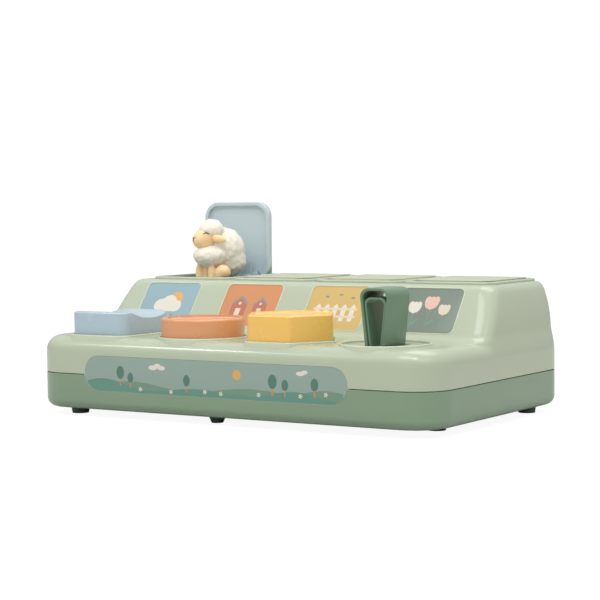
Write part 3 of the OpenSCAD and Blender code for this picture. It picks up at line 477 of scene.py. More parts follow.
def loftedSkin(rings):
    # the first ring is drawn, then drawn out from ring to ring, and the last one is filled
    bm = bmesh.new()
    tag = bm.verts.layers.int.new("station")
    verts = [bm.verts.new(p) for p in rings[0]]
    for k, v in enumerate(verts):
        v[tag] = k
    edges = [bm.edges.new((verts[k], verts[(k + 1) % len(verts)])) for k in range(len(verts))]
    for ring in rings[1:]:
        new = bmesh.ops.extrude_edge_only(bm, edges=edges)["geom"]
        for v in (g for g in new if isinstance(g, bmesh.types.BMVert)):
            v.co = ring[v[tag]]
        edges = [g for g in new if isinstance(g, bmesh.types.BMEdge) and g.is_boundary]
    bmesh.ops.contextual_create(bm, geom=edges)
    bmesh.ops.recalc_face_normals(bm, faces=bm.faces)
    return bm


def thickened(obj, wall):
    mod = obj.modifiers.new("wall", "SOLIDIFY")
    mod.thickness, mod.offset, mod.use_even_offset = wall / 1000, -1, False
    return settle(obj)


# recesses for the labels on the panel wall and for the plaque on the front
labels = dict(w=44.2, h=33.6, r=4, lift=5.2, depth=0.6, edgeOut=1.1, edgeW=0.8, edgeRise=0.26, edgeR=0.2)
wallUp = radians(shell["foldLean"])


def labelPlace(i):
    rise = labels["lift"] + labels["h"] / 2
    spot = Vector((controlX[i], shell["wallFootY"] + rise * cos(wallUp), 52 + rise * sin(wallUp)))
    return Matrix.Translation(spot) @ Matrix.Rotation(wallUp, 4, "X")


plaque = dict(w=198, h=23, r=11.4, x=-6, z=29.2, depth=0.6,
              edgeOut=1.1, edgeW=0.62, edgeRise=-0.02, edgeR=0.12)


def plaquePlace():
    return Matrix.Translation((plaque["x"], -shell["halfD"], plaque["z"])) @ Matrix.Rotation(pi / 2, 4, "X")


# openings in the upper shell: y of the wells is counted from the hinge
wells = dict(halfW=30.7, front=-58.3, rear=8.8, frameW=65, frameFront=-61.5, frameRear=13, frameR=11,
             frameLow=84.2, frameTop=86.6, holeHalfW=28.5, holeFront=-56.1, holeRear=6.6,
             skirtW=61, skirtD=66.7, skirtR=1.9, skirtWall=2, skirtLow=81.1, skirtTop=85.0, skirtY=-24.75,
             catchHalfW=4.5)
slots = dict(low=46, high=56, hexR=30.8, hexCorner=2.8, shaftR=8.05)
screws = dict(holeR=3.3, holeTop=9, spots=((-138, -71), (138, -71), (-138, 45), (138, 45), (0, -79), (0, 84)))


def plaqueSeat():
    face = rectFace(plaque["w"], plaque["h"], plaque["r"], 12)
    return placed(raised(face, -plaque["depth"], 6), plaquePlace())


def labelSeat(i):
    face = rectFace(labels["w"], labels["h"], labels["r"])
    return placed(raised(face, -labels["depth"], 6), labelPlace(i))


def wellBox(i, halfW, front, rear, z0, z1):
    return cutterBox(controlX[i] - halfW, controlX[i] + halfW, hingeY + front, hingeY + rear, z0, z1)


def deckSlot(i, x0, x1, y0, y1):
    x = controlX[i]
    return cutterBox(x + x0, x + x1, controlY + y0, controlY + y1, slots["low"], slots["high"])


def makeUpperShell():
    upper = thickened(toObject("upperShellSkin", loftedSkin(shellRings())), shell["wall"])
    holes = []
    for i in range(4):
        holes.append(wellBox(i, wells["halfW"], wells["front"], wells["rear"], 78, 90))
        holes.append(labelSeat(i))
    holes.append(plaqueSeat())
    hexHole = hexPrism(slots["hexR"], slots["hexCorner"], 5, slots["low"], slots["high"])
    holes.append(shifted(hexHole, controlX[2], controlY))
    holes.append(deckSlot(3, -7.2, 10.6, -13.8, 13.8))
    holes.append(deckSlot(0, -5.2, 5.2, -7.7, 15.7))
    shaftHole = raised(ringFace(slots["shaftR"], 32), slots["low"], slots["high"])
    holes.append(shifted(shaftHole, controlX[1], controlY))
    dress(cutAway(upper, holes), "housing", sageAbs, "upper_shell", 28)


def makeLowerShell():
    top, r = shell["seamLowZ"], shell["seamR"]
    face = rectFace(2 * shell["halfW"], 2 * shell["halfD"], shell["cornerR"], 16)
    bm = raised(face, shell["baseZ"], top, r, shell["baseR"], 8)
    roof = [f for f in bm.faces if f.normal.z > 0.99 and f.calc_center_median().z > top - 0.2]
    bmesh.ops.delete(bm, geom=roof, context="FACES")
    lower = thickened(toObject("lowerShellSkin", bm), shell["wall"])
    seats = [plaqueSeat()]
    for x, y in screws["spots"]:
        seats.append(shifted(raised(ringFace(screws["holeR"], 24), 0, screws["holeTop"]), x, y))
    dress(cutAway(lower, seats), "housing", darkSageAbs, "lower_shell", 28)


makeUpperShell()
makeLowerShell()
print("shells made")


lip = dict(w=1.7, top=53.4, low=46.5, edge=0.7, sliderW=49.2, sliderD=64.2, sliderR=10.6, sliderBack=4,
           dialR=29.3, buttonR=32.6, buttonCorner=3.6, leverR=28.3)


def lipBand(face, x, y, name):
    # a low lip moulded round each control's opening, its paler sage a painted highlight along the lip
    band = shifted(raised(hollowed(face, lip["w"]), lip["low"], lip["top"], lip["edge"], 0, 3), x, y)
    return piece(name, band, "housing", sageRimHighlightAbs)


sliderLip = rectFace(lip["sliderW"], lip["sliderD"], lip["sliderR"], 10)
lipBand(sliderLip, controlX[0], controlY + lip["sliderBack"], "sliderLip")
lipBand(ringFace(lip["dialR"], 96), controlX[1], controlY, "dialLip")
lipBand(ringFace(lip["buttonR"], 6, lip["buttonCorner"], 6, pi / 6), controlX[2], controlY, "buttonLip")
lipBand(ringFace(lip["leverR"], 96), controlX[3], controlY, "leverRing")


def wellFrame(i):
    # the raised frame on the roof, and the skirt that stands in the well below it
    d = wells["frameRear"] - wells["frameFront"]
    midY = hingeY + (wells["frameFront"] + wells["frameRear"]) / 2
    outline = rectFace(wells["frameW"], d, wells["frameR"], 10)
    rim = raised(outline, wells["frameLow"], wells["frameTop"], 1.1, 0, 4)
    rim = toObject("wellFrame%d" % (i + 1), shifted(rim, controlX[i], midY))
    cutAway(rim, [wellBox(i, wells["holeHalfW"], wells["holeFront"], wells["holeRear"], 80, 90)])
    softened(rim, 0.5, 2, 50)
    skirt = hollowed(rectFace(wells["skirtW"], wells["skirtD"], wells["skirtR"], 3), wells["skirtWall"])
    raised(skirt, wells["skirtLow"], wells["skirtTop"])
    skirt = toObject("wellSkirt%d" % (i + 1), shifted(skirt, controlX[i], hingeY + wells["skirtY"]))
    cutAway(skirt, [wellBox(i, wells["catchHalfW"], -62, -54, 78, 86)])
    dress(rim, "housing", sageAbs, "well_frame_%d" % (i + 1), 35)
    dress(skirt, "housing", sageAbs, (), 35)


for i in range(4):
    wellFrame(i)
print("lips and frames made")

# slider with a finger hollow across its top
block = dict(w=44, d=51, r=8, z0=52.6, z1=68, scoopR=55, scoopDepth=4.6, scoopBack=5)
sliderBody = raised(rectFace(block["w"], block["d"], block["r"], 10), block["z0"], block["z1"], 1.3, 0.4, 4)
sliderBlock = toObject("sliderBlock", shifted(sliderBody, controlX[0], controlY))
scoopZ = block["z1"] + block["scoopR"] - block["scoopDepth"]
scoop = shifted(rod(block["scoopR"], 60, 256, along="X"), controlX[0], controlY + block["scoopBack"], scoopZ)
cutAway(sliderBlock, [scoop])
softened(sliderBlock, 0.9, 3, 24)
dress(sliderBlock, "slider", blueAbs, "slider_block", 40)

# dial with a sunk top and a grip across it
dialSizes = dict(r=26.7, z0=52.6, z1=65.2, edge=1.8, rim=1.6, sunk=2,
                 gripL=42, gripW=10, gripTurn=35, shaftR=8)
dialTop = dialSizes["z1"]
dialFace = raised(ringFace(dialSizes["r"], 96), dialSizes["z0"], dialTop, dialSizes["edge"], 0.4, 6)
sunk(dialFace, dialTop, dialSizes["rim"], dialSizes["sunk"], 0.8, 4)
gripFace = rectFace(dialSizes["gripL"], dialSizes["gripW"], 4.95, 10)
grip = raised(gripFace, dialTop - 2.6, dialTop - 0.1, 1.6, 0, 5)
placed(grip, Matrix.Rotation(radians(dialSizes["gripTurn"]), 4, "Z"))
shaft = shifted(rod(dialSizes["shaftR"], 14, 32), 0, 0, 47)
dialParts = shifted(together(dialFace, grip, shaft), controlX[1], controlY)
piece("dialKnob", dialParts, "dial_body", orangeAbs, "dial", 40)

# six-sided push button
buttonSizes = dict(r=30.2, corner=3.6, z0=49.4, z1=69.6, edge=1.5, rim=1.4, sunk=1)
buttonTop = hexPrism(buttonSizes["r"], buttonSizes["corner"], 6, buttonSizes["z0"], buttonSizes["z1"],
                     buttonSizes["edge"], 0.3, 5)
sunk(buttonTop, buttonSizes["z1"], buttonSizes["rim"], buttonSizes["sunk"], 0.6, 4)
shifted(buttonTop, controlX[2], controlY)
piece("pushButton", buttonTop, "button", yellowAbs, "push_button", 40)

# flip lever: an outer loop with faint ribs, and an inner frame in it
lever = dict(topW=20, footW=13.5, d=26, z0=53, h=33.8, sink=3.4, cornerR=5.5, wall=1.8, ribRise=0.24,
             coreInset=2.3, coreDrop=3.4, coreWall=1.3, coreSet=1.2, coreLow=-1.55, coreInnerLow=-1.2,
             tail=(-5.5, 5.5, -11.9, 11.9, 43.4, 51.3), wedge=(-3.9, 3.9, 8, 12.4, 41.3, 44.2))
leverFlare = (lever["topW"] - lever["footW"]) / 2 / lever["h"]


def leverOutline(inset, drop=0, low=0.0):
    top, r = lever["h"] - inset - drop, lever["cornerR"] - inset * 0.6
    ht = lever["topW"] / 2 - inset - drop * leverFlare
    hb = lever["footW"] / 2 - inset + low * leverFlare
    right = [(hb, low)]
    right += [(ht - r + r * cos(a * pi / 20), top - r + r * sin(a * pi / 20)) for a in range(11)]
    return right + [(-x, z) for x, z in reversed(right)]


def leverLoop(outer, inner, depth, edge):
    # two outlines, one in the other, joined into a band and drawn out front to rear
    bm = bmesh.new()
    loops = []
    for pts in (outer, inner):
        verts = [bm.verts.new((x, y, 0)) for x, y in pts]
        loops += [bm.edges.new((verts[k], verts[(k + 1) % len(verts)])) for k in range(len(verts))]
    bmesh.ops.bridge_loops(bm, edges=loops)
    raised(bm, -depth / 2, depth / 2, edge, edge, 3)
    stand = Matrix.Translation((controlX[3], controlY, lever["z0"]))
    return placed(bm, stand @ Matrix.Rotation(pi / 2, 4, "X"))


def leverRibs():
    # one upright rib and two level ones on each side
    ribs = []
    half = lever["footW"] / 2
    for side in (1, -1):
        for h0, h1, y0, y1 in ((1, 26, -0.25, 0.25), (9.8, 10.3, -12.4, 12.4), (19.8, 20.3, -12.4, 12.4)):
            strip = cutterBox(-0.5, lever["ribRise"], y0, y1, 0, 1)
            for v in strip.verts:
                h = h0 if v.co.z < 0.5 else h1
                v.co = ((half + leverFlare * h + v.co.x) * side, v.co.y, h)
            ribs.append(shifted(strip, controlX[3], controlY, lever["z0"]))
    return ribs


outerLoop = leverLoop(leverOutline(0, 0, -lever["sink"]),
                      leverOutline(lever["wall"], 0, lever["wall"] - lever["sink"]),
                      lever["d"], 0.6)
ribs = leverRibs()
tail = shifted(cutterBox(*lever["tail"]), controlX[3], controlY)
roundEdges(tail, 0.6, 2, lambda e: True)
wedge = shifted(cutterBox(*lever["wedge"]), controlX[3], controlY)
leverBody = together(outerLoop, tail, wedge, *ribs)
piece("flipLever", leverBody, "lever", greenAbs, "flip_lever", 40)
coreOuter = leverOutline(lever["coreInset"], lever["coreDrop"], lever["coreLow"])
coreInner = leverOutline(lever["coreInset"] + lever["coreWall"], lever["coreDrop"], lever["coreInnerLow"])
coreLoop = leverLoop(coreOuter, coreInner, lever["d"] - 2 * lever["coreSet"], 0.35)
piece("leverInnerFrame", coreLoop, "lever", greenAbs, "lever_core", 40)
print("controls made")

# printed films and inks of the labels and the plaque
labelFilm = [printedFilm(name, colour) for name, colour in (
    ("blueLabelFilm", "#8ca9b2"), ("orangeLabelFilm", "#c98655"), ("yellowLabelFilm", "#cbac63"),
    ("greyGreenLabelFilm", "#717f72"))]
plaqueFilm = printedFilm("plaqueFilm", "#8fa399")
inks = {key: printedFilm(key + "Ink", value, 0.05) for key, value in dict(
    white="#dcd6c8", cream="#d8cbb2", rust="#b4694e", ochre="#c98a4a", slate="#7c8f93", pink="#dfb8a8",
    teal="#5d8c7c", deepTeal="#4d7768", sun="#d9a55a", moss="#6f8f78").items()}


def blob(x, y, rx, ry=None, turn=0, sides=28):
    bm = ringFace(1, sides)
    bmesh.ops.scale(bm, vec=(rx, ry or rx, 1), verts=bm.verts)
    bmesh.ops.rotate(bm, verts=bm.verts, cent=(0, 0, 0), matrix=Matrix.Rotation(radians(turn), 3, "Z"))
    return shifted(bm, x, y)


def inkBox(x0, x1, y0, y1):
    return outlineFace([(x0, y0), (x1, y0), (x1, y1), (x0, y1)])


def inkPiece(name, shapes, place):
    # each shape is a thin layer on the film, a little higher than the one drawn before it
    used, parts = [], []
    for order, (ink, bm) in enumerate(shapes):
        if ink not in used:
            used.append(ink)
        for f in bm.faces:
            f.material_index = used.index(ink)
        z = -0.045 + 0.03 * order / len(shapes)
        parts.append(raised(bm, z - 0.05, z))
    obj = toObject(name, placed(together(*parts), place))
    return dress(obj, "housing", [inks[k] for k in used])


def petals(x, y, r, count, size, ink):
    turns = [360 * k / count for k in range(count)]
    return [(ink, blob(x + r * cos(radians(a)), y + r * sin(radians(a)), size, size * 0.55, a))
            for a in turns]


def sunnyCloud():
    shapes = [("sun", blob(5.5, 4, 5.4)), ("white", blob(-6, -1.5, 5)), ("white", blob(0.5, 0.5, 6.2)),
              ("white", blob(7, -2, 4.6)), ("white", inkBox(-6, 7, -6.4, -2))]
    return shapes + [("slate", blob(x, y, 0.9, 1.7, 12)) for x, y in ((-3.5, -10), (1.5, -10.6), (6.5, -10))]


def barn(x, s):
    wall = [(-6 * s, -8), (6 * s, -8), (6 * s, 2 * s), (0, 7.5 * s), (-6 * s, 2 * s)]
    roof = [(-6.2 * s, 0.4 * s), (0, 6 * s), (6.2 * s, 0.4 * s),
            (7 * s, 1.2 * s), (0, 8 * s), (-7 * s, 1.2 * s)]
    return [("rust", shifted(outlineFace(wall), x)), ("slate", shifted(outlineFace(roof), x)),
            ("cream", inkBox(x - 2 * s, x + 2 * s, -8, -2.4 * s)), ("cream", blob(x, 1.6 * s, 1.2 * s))]


def fenceAndLeaves():
    post = [(-1.7, -10), (1.7, -10), (1.7, 1), (0, 3.2), (-1.7, 1)]
    shapes = [("white", shifted(outlineFace(post), x)) for x in (-13, -6.5, 0, 6.5, 13)]
    shapes += [("cream", inkBox(-16.5, 16.5, y, y + 1.7)) for y in (-7.4, -1.6)]
    return shapes + [("slate", blob(x, y, 1.5, 0.8)) for x, y in ((-9, 8.5), (1, 10.2), (10.5, 8))]


def tulip(x, y, ink, s):
    stem = [("moss", inkBox(x - 0.5, x + 0.5, -12, y)), ("moss", blob(x + 2.6, -8.4, 3.2, 1.1, 48))]
    cup = ((-2.1, 3.4, 4.2, 2.3, 102), (2.1, 3.4, 4.2, 2.3, 78), (0, 3, 4.4, 2.4, 90))
    return stem + [(ink, blob(x + dx * s, y + dy * s, rx * s, ry * s, a)) for dx, dy, rx, ry, a in cup]


def labelArt():
    tulips = tulip(-9.5, -1, "white", 1.0) + tulip(1.5, 2.2, "pink", 1.12) + tulip(11.5, -2, "cream", 0.9)
    return sunnyCloud(), barn(-8, 1.0) + barn(8.5, 0.86), fenceAndLeaves(), tulips


def filmPlate(sizes, seg):
    # the film itself, just below the rim of its recess
    face = rectFace(sizes["w"] - 0.3, sizes["h"] - 0.3, sizes["r"] - 0.1, seg)
    return raised(face, -sizes["depth"], -0.06, 0.05)


def edgeBand(sizes, seg):
    # the narrow edge round a film, paler than the shell as a painted highlight of light along it
    out = sizes["edgeOut"]
    face = rectFace(sizes["w"] + out, sizes["h"] + out, sizes["r"] + 0.5, seg)
    return raised(hollowed(face, sizes["edgeW"]), -0.5, sizes["edgeRise"], sizes["edgeR"], 0, 2)


for i, art in enumerate(labelArt()):
    film = placed(filmPlate(labels, 8), labelPlace(i))
    piece("labelFilm%d" % (i + 1), film, "housing", labelFilm[i], "panel_label_%d" % (i + 1), 40)
    edge = placed(edgeBand(labels, 8), labelPlace(i))
    piece("labelEdge%d" % (i + 1), edge, "housing", sageRimHighlightAbs)
    inkPiece("labelPrint%d" % (i + 1), art, labelPlace(i))

film = placed(filmPlate(plaque, 12), plaquePlace())
piece("plaqueFilmPlate", film, "housing", plaqueFilm, "front_plaque", 40)


def hillBand(x0, x1, low, peaks):
    # a strip of hills, cut off by the round ends of the plaque
    # each peak has a middle, a half width and a height
    xs = [x0 + (x1 - x0) * k / 60 for k in range(61)]

    def top(x):
        near = [(c, w, h) for c, w, h in peaks if abs(x - c) < w]
        return low + sum(h * max(0, cos((x - c) / w * pi / 2)) ** 2 for c, w, h in near)

    def rim(x):
        return -sqrt(max(0, 11.1 ** 2 - max(0, abs(x) - 87.5) ** 2))

    return outlineFace([(x, rim(x)) for x in xs] + [(x, max(top(x), rim(x) + 0.05)) for x in reversed(xs)])


def tree(x, y, s):
    trunk = inkBox(x - 0.5 * s, x + 0.5 * s, y - 2, y + 4 * s)
    return [("ochre", trunk), ("deepTeal", blob(x, y + 6.4 * s, 3 * s, 4.2 * s))]


def plaqueArt():
    shapes = [("moss", hillBand(-94, 96, -8.2, ((-60, 40, 4.2), (30, 46, 3.6), (84, 34, 5)))),
              ("teal", hillBand(-96.5, 92, -9.4, ((-84, 36, 6.4), (-10, 40, 2.8), (62, 34, 4.6))))]
    trees = ((-70, -5, 1.0), (-62, -6.4, 0.75), (-18, -7, 0.85), (46, -6, 1.05), (55, -6.2, 0.8),
             (76, -5.6, 0.9))
    for spot in trees:
        shapes += tree(*spot)
    shapes.append(("sun", blob(20, 3.6, 3.1)))
    clouds = ((-44, 5.4, 3.4, 1.5), (-40.5, 6.6, 2.6, 1.5), (-37.5, 5.4, 3, 1.4),
              (66, 6.4, 3, 1.3), (69, 7.3, 2.2, 1.2))
    shapes += [("white", blob(*cloud)) for cloud in clouds]
    for x, y in ((-54, -8.6), (-30, -9.2), (-4, -8), (8, -8.6), (36, -7.8), (66, -7.2), (84, -5.4)):
        shapes += petals(x, y, 0.8, 5, 0.75, "white") + [("sun", blob(x, y, 0.45))]
    return shapes


inkPiece("plaquePrint", plaqueArt(), plaquePlace())
edge = placed(edgeBand(plaque, 12), plaquePlace())
piece("plaqueEdge", edge, "housing", sageRimHighlightAbs)
print("labels made")


def lidPlace(i):
    # the hinge of unit i; the first lid is drawn open
    turn = Matrix.Rotation(-pi / 2, 4, "X") if i == 0 else Matrix.Identity(4)
    return Matrix.Translation((controlX[i], hingeY, hingeZ)) @ turn


def uprightPlace(i):
    # the same for what is built standing upright
    turn = Matrix.Identity(4) if i == 0 else Matrix.Rotation(pi / 2, 4, "X")
    return Matrix.Translation((controlX[i], hingeY, hingeZ)) @ turn


def coverFace(w, y0, y1):
    # large round corners in front, small ones behind
    bm = shifted(rectFace(w, y1 - y0, 0), 0, (y0 + y1) / 2)
    for front, r, seg in ((True, 10.5, 12), (False, 1.5, 4)):
        corners = [v for v in bm.verts if (v.co.y < (y0 + y1) / 2) == front]
        bmesh.ops.bevel(bm, geom=corners, offset=r, segments=seg, profile=0.5, affect="VERTICES", material=-1)
    return bm


lid = dict(w=55.6, front=-55.4, rear=-0.5, top=4.1, low=0.5, cornerR=11.5, rim=2.6, plate=1.2, hollowEnd=-4.4,
           knuckleR=4.1, boreR=1.6, springBayX=18.2, springBayW=9.6, springBayR=2.9,
           coverW=55.2, coverBack=3.2, coverLow=4.05, coverTop=4.9, coverEdge=0.55,
           catch=(-4.5, 4.5, -56, -54.1, 1.6, 3.4), hollowR=9, boreL=60)


def lidTray(i):
    d = lid["rear"] - lid["front"]
    tray = raised(rectFace(lid["w"], d, lid["cornerR"], 12), lid["low"], lid["top"], 0.5, 0.6, 4)
    tray = toObject("lidTray%d" % (i + 1), placed(shifted(tray, 0, lid["front"] + d / 2), lidPlace(i)))
    front = lid["front"] + lid["rim"]
    hollow = rectFace(lid["w"] - 2 * lid["rim"], lid["hollowEnd"] - front, lid["hollowR"], 12)
    hollow = raised(hollow, lid["low"] - 2, lid["top"] - lid["plate"], 0.3, 0, 3)
    hollow = placed(shifted(hollow, 0, (front + lid["hollowEnd"]) / 2), lidPlace(i))
    catch = placed(cutterBox(*lid["catch"]), lidPlace(i))
    return softened(cutAway(tray, [hollow, catch]), 0.3, 3, 50)


def lidKnuckle(i):
    # the barrel on the hinge pin, with a bay for the spring
    hingeRoll = placed(rod(lid["knuckleR"], lid["w"], 40, 0.5, "X"), lidPlace(i))
    knuckle = toObject("lidKnuckle%d" % (i + 1), hingeRoll)
    x, half = lid["springBayX"], lid["springBayW"] / 2
    bore = placed(rod(lid["boreR"], lid["boreL"], 24, 0, "X"), lidPlace(i))
    room = placed(cutterBox(x - half - 0.1, x + half + 0.1, -5.5, 0, -5.5, 0), lidPlace(i))
    bay = placed(shifted(rod(lid["springBayR"], lid["springBayW"], 32, 0, "X"), x), lidPlace(i))
    return cutAway(knuckle, [bore, room, bay])


for i in range(4):
    body = "lid_%d" % (i + 1)
    dress(lidTray(i), body, lidAbs[i], "lid_tray_%d" % (i + 1), 40)
    dress(lidKnuckle(i), body, lidAbs[i], (), 40)
    cover = coverFace(lid["coverW"], lid["front"] + 0.2, lid["coverBack"])
    cover = placed(raised(cover, lid["coverLow"], lid["coverTop"], lid["coverEdge"], 0, 3), lidPlace(i))
    piece("lidCover%d" % (i + 1), cover, body, sageLidAbs, "lid_cover_%d" % (i + 1), 40)
print("lids made")


def ball(x, y, z, rx, ry, rz, axis="X", turn=0):
    spin = Matrix.Rotation(radians(turn), 4, axis)
    return Matrix.Translation((x, y, z)) @ spin @ Matrix.Diagonal((rx, ry, rz, 1))


def blobby(balls, voxel, smooth=4):
    # overlapping balls, fused into one skin and relaxed
    bm = bmesh.new()
    for place in balls:
        made = bmesh.ops.create_icosphere(bm, subdivisions=4, radius=1)["verts"]
        bmesh.ops.transform(bm, matrix=place, verts=made)
    obj = toObject("blobby", bm)
    mod = obj.modifiers.new("fuse", "REMESH")
    mod.mode, mod.voxel_size = "VOXEL", voxel / 1000
    settle(obj)
    bm = bmesh.new()
    bm.from_mesh(obj.data)
    bpy.data.objects.remove(obj)
    bmesh.ops.scale(bm, vec=(1000, 1000, 1000), verts=bm.verts)
    for k in range(smooth):
        bmesh.ops.smooth_vert(bm, verts=bm.verts, factor=0.5,
                              use_axis_x=True, use_axis_y=True, use_axis_z=True)
    return bm


def woolly(bm, size, height, seed=0):
    # pushes the skin out into soft lumps, with finer unevenness on them
    bm.normal_update()
    moves = []
    for v in bm.verts:
        near = noise.voronoi(v.co / size + Vector((seed, 0, 0)))[0][0]
        lump = height * (0.75 - near * 1.3) + height * 0.35 * noise.noise(v.co / (size * 0.4))
        moves.append(v.normal * lump)
    for v, move in zip(bm.verts, moves):
        v.co += move
    return bm


def stroke(points, radius):
    # a thin painted line as a small tube
    bm = bmesh.new()
    for a, b in zip(points, points[1:]):
        a, b = Vector(a), Vector(b)
        tube = rod(radius, (b - a).length + radius, 8)
        turn = Vector((0, 0, 1)).rotation_difference(b - a).to_matrix().to_4x4()
        bm = together(bm, placed(tube, Matrix.Translation((a + b) / 2) @ turn))
    return bm


def closedEyes(points, radius=0.28):
    # the same painted line on both sides of a head
    return [stroke([(side * x, y, z) for x, y, z in points], radius) for side in (1, -1)]


vinyl = dict(soft=0.5, spread=(1, 0.9, 0.75), depth=0.004)


def softVinyl(name, colour, roughness=0.5, tint=0.04, bump=0.2, grainMm=0.8):
    # figure cast in matt painted vinyl: soft colour that lets a little light into the skin
    mat = mouldedPlastic(name, colour, roughness, tint, bump, grainMm, 0.05, 0)
    shader = mat.node_tree.nodes["Principled BSDF"]
    shader.inputs["Subsurface Weight"].default_value = vinyl["soft"]
    shader.inputs["Subsurface Radius"].default_value = vinyl["spread"]
    shader.inputs["Subsurface Scale"].default_value = vinyl["depth"]
    return mat


woolPaint = softVinyl("woolPaintedVinyl", "#ece7da", 0.6, 0.02, 0.4, 1.2)
skinPaint = softVinyl("skinPaintedVinyl", "#fdd6a6", 0.5, 0.04, 0.12)
darkPaint = softVinyl("darkBrownPaint", "#4c3a34", 0.45)
cowPaint = softVinyl("cowCreamVinyl", "#f0eadf", 0.5, 0.03, 0.12)
patchPaint = softVinyl("cowPatchPaint", "#8d7565", 0.5, 0.06, 0.12)
pinkPaint = softVinyl("pinkVinyl", "#e8bbaa", 0.48, 0.04, 0.12)
deepPinkPaint = softVinyl("deepPinkPaint", "#d79a8a", 0.48, 0.04, 0.12)
duckPaint = softVinyl("duckCreamVinyl", "#f3e2b0", 0.5, 0.03, 0.2, 1.2)
beakPaint = softVinyl("beakOrangePaint", "#dc9a58", 0.45)


def figurePiece(name, bm, i, mat, replaced=(), sharp=60):
    bmesh.ops.recalc_face_normals(bm, faces=bm.faces)
    return dress(toObject(name, placed(bm, uprightPlace(i))), "lid_%d" % (i + 1), mat, replaced, sharp)


# sheep: sits up with its head turned to the left
sheep = dict(headTurn=-26, headAt=(-3.4, -34.4, 30.2), woolLump=4.0, woolHeight=0.8,
             capLump=4.4, capHeight=0.55, skinVoxel=0.45, woolVoxel=0.7, floorZ=2.55)
headAt = Vector(sheep["headAt"])
headSpin = Matrix.Rotation(radians(sheep["headTurn"]), 3, "Z")


def onHead(x, y, z):
    return headAt + headSpin @ Vector((x, y, z))


def headBall(x, y, z, rx, ry, rz):
    return ball(*onHead(x, y, z), rx, ry, rz, "Z", sheep["headTurn"])


def headLine(radius, *points):
    return stroke([onHead(*point) for point in points], radius)


def sheepWool():
    body = blobby([ball(-0.2, -33.2, 17.6, 12.2, 10.8, 7.6), ball(2.2, -19.6, 21.8, 15.4, 14.4, 15.6),
                   ball(-0.5, -29.5, 11.4, 8.6, 6, 6), ball(5.8, -17.6, 13.8, 12, 11.8, 11.2),
                   ball(2.4, -22.6, 29.4, 8.6, 7.6, 8.8)], sheep["woolVoxel"], 6)
    cap = blobby([ball(-0.9, -29.6, 35.9, 9.2, 8.6, 7.8, "Z", -33),
                  headBall(0, 1.6, 4.9, 7.2, 6, 4.3)], 0.6, 5)
    return together(woolly(body, sheep["woolLump"], sheep["woolHeight"]),
                    woolly(cap, sheep["capLump"], sheep["capHeight"], 5))


def sheepSkin():
    face = blobby([headBall(0, 0.2, -0.2, 7.5, 8.2, 7.6), headBall(0, -3.6, -1.2, 6.5, 5.5, 6.1)],
                  sheep["skinVoxel"], 14)
    ears = blobby([ball(9.4, -35.4, 29.9, 6.4, 2.0, 2.7, "Y", 8),
                   ball(-12.6, -23, 30.4, 2.2, 5.4, 2.7)], 0.4, 3)
    legs = blobby([ball(-7.8, -35, 5.9, 2.9, 3, 6.8), ball(-2.8, -33, 5.4, 3.6, 3, 6.6),
                   ball(3.8, -36.6, 5.9, 2.6, 3, 7.2), ball(11, -33.4, 6, 5.8, 5.4, 5.7),
                   ball(6.6, -33.2, 5, 4.4, 3.8, 4.6), ball(-9, -24, 6, 3.8, 5.6, 4.6)], 0.5, 3)
    everything = legs.verts[:] + legs.edges[:] + legs.faces[:]
    bmesh.ops.bisect_plane(legs, geom=everything, plane_co=(0, 0, sheep["floorZ"]), plane_no=(0, 0, -1),
                           clear_outer=True)
    bmesh.ops.holes_fill(legs, edges=legs.edges)
    return together(face, ears, legs)


def sheepFeatures():
    # closed eyes, nose and mouth
    eye = ((5.5, -4.0, 3.4), (6.1, -3.0, 4.0), (6.6, -1.7, 3.9), (7.0, -0.5, 3.2))
    eyes = [headLine(0.3, *[(side * x, y, z) for x, y, z in eye]) for side in (1, -1)]
    nose = [headLine(0.28, (-1.7, -8.5, 0.9), (0, -9.15, -0.2), (1.7, -8.5, 0.9)),
            headLine(0.26, (0, -9.1, -0.2), (0, -9.0, -1.7))]
    mouth = headLine(0.24, (-1.6, -8.3, -2.6), (0, -8.95, -1.7), (1.6, -8.3, -2.6))
    return together(*eyes, *nose, mouth)


figurePiece("sheepWool", sheepWool(), 0, woolPaint, "sheep_figure")
figurePiece("sheepSkin", sheepSkin(), 0, skinPaint)
figurePiece("sheepFeatures", sheepFeatures(), 0, darkPaint)
print("sheep made")


def plainFeet(spots, top, radius, name, i, mat):
    feet = [shifted(raised(ringFace(radius, 28), 2.5, top, 0.8, 0.5, 3), x, y) for x, y in spots]
    return figurePiece(name, together(*feet), i, mat)


# cow: stands, with two patches, a pink muzzle and short horns
cow = dict(hornX=4.6, hornTilt=16, hornR=1.3, hornH=4.4, legR=3.4, legTop=13)
cowBody = blobby([ball(0, -30.5, 20, 12.6, 11, 12), ball(0, -18, 18.6, 13.6, 12.4, 13),
                  ball(0, -31.5, 33.5, 8.4, 8, 8.4), ball(11, -28.5, 36, 4.4, 1.6, 2.4, "Y", 18),
                  ball(-11, -28.5, 36, 4.4, 1.6, 2.4, "Y", -18)], 0.7)
figurePiece("cowHide", cowBody, 1, cowPaint, "cow_figure")
cowPatches = blobby([ball(9.5, -22, 22, 5.2, 6, 5.6), ball(-9.4, -15, 18, 5, 6.2, 5.4),
                     ball(-4.8, -36.8, 35.6, 3.4, 2.6, 3.6)], 0.6)
figurePiece("cowPatches", cowPatches, 1, patchPaint)
figurePiece("cowMuzzle", blobby([ball(0, -38.8, 30.6, 5.8, 4, 4)], 0.5), 1, pinkPaint)
cowFeatures = closedEyes([(2.0, -42.6, 31.2), (2.4, -42.5, 31.9)], 0.4)
cowFeatures += closedEyes([(2.6, -39.2, 36.6), (3.9, -38.9, 37.2), (5.1, -38.0, 36.6)])
figurePiece("cowFeatures", together(*cowFeatures), 1, darkPaint)
cowHorns = []
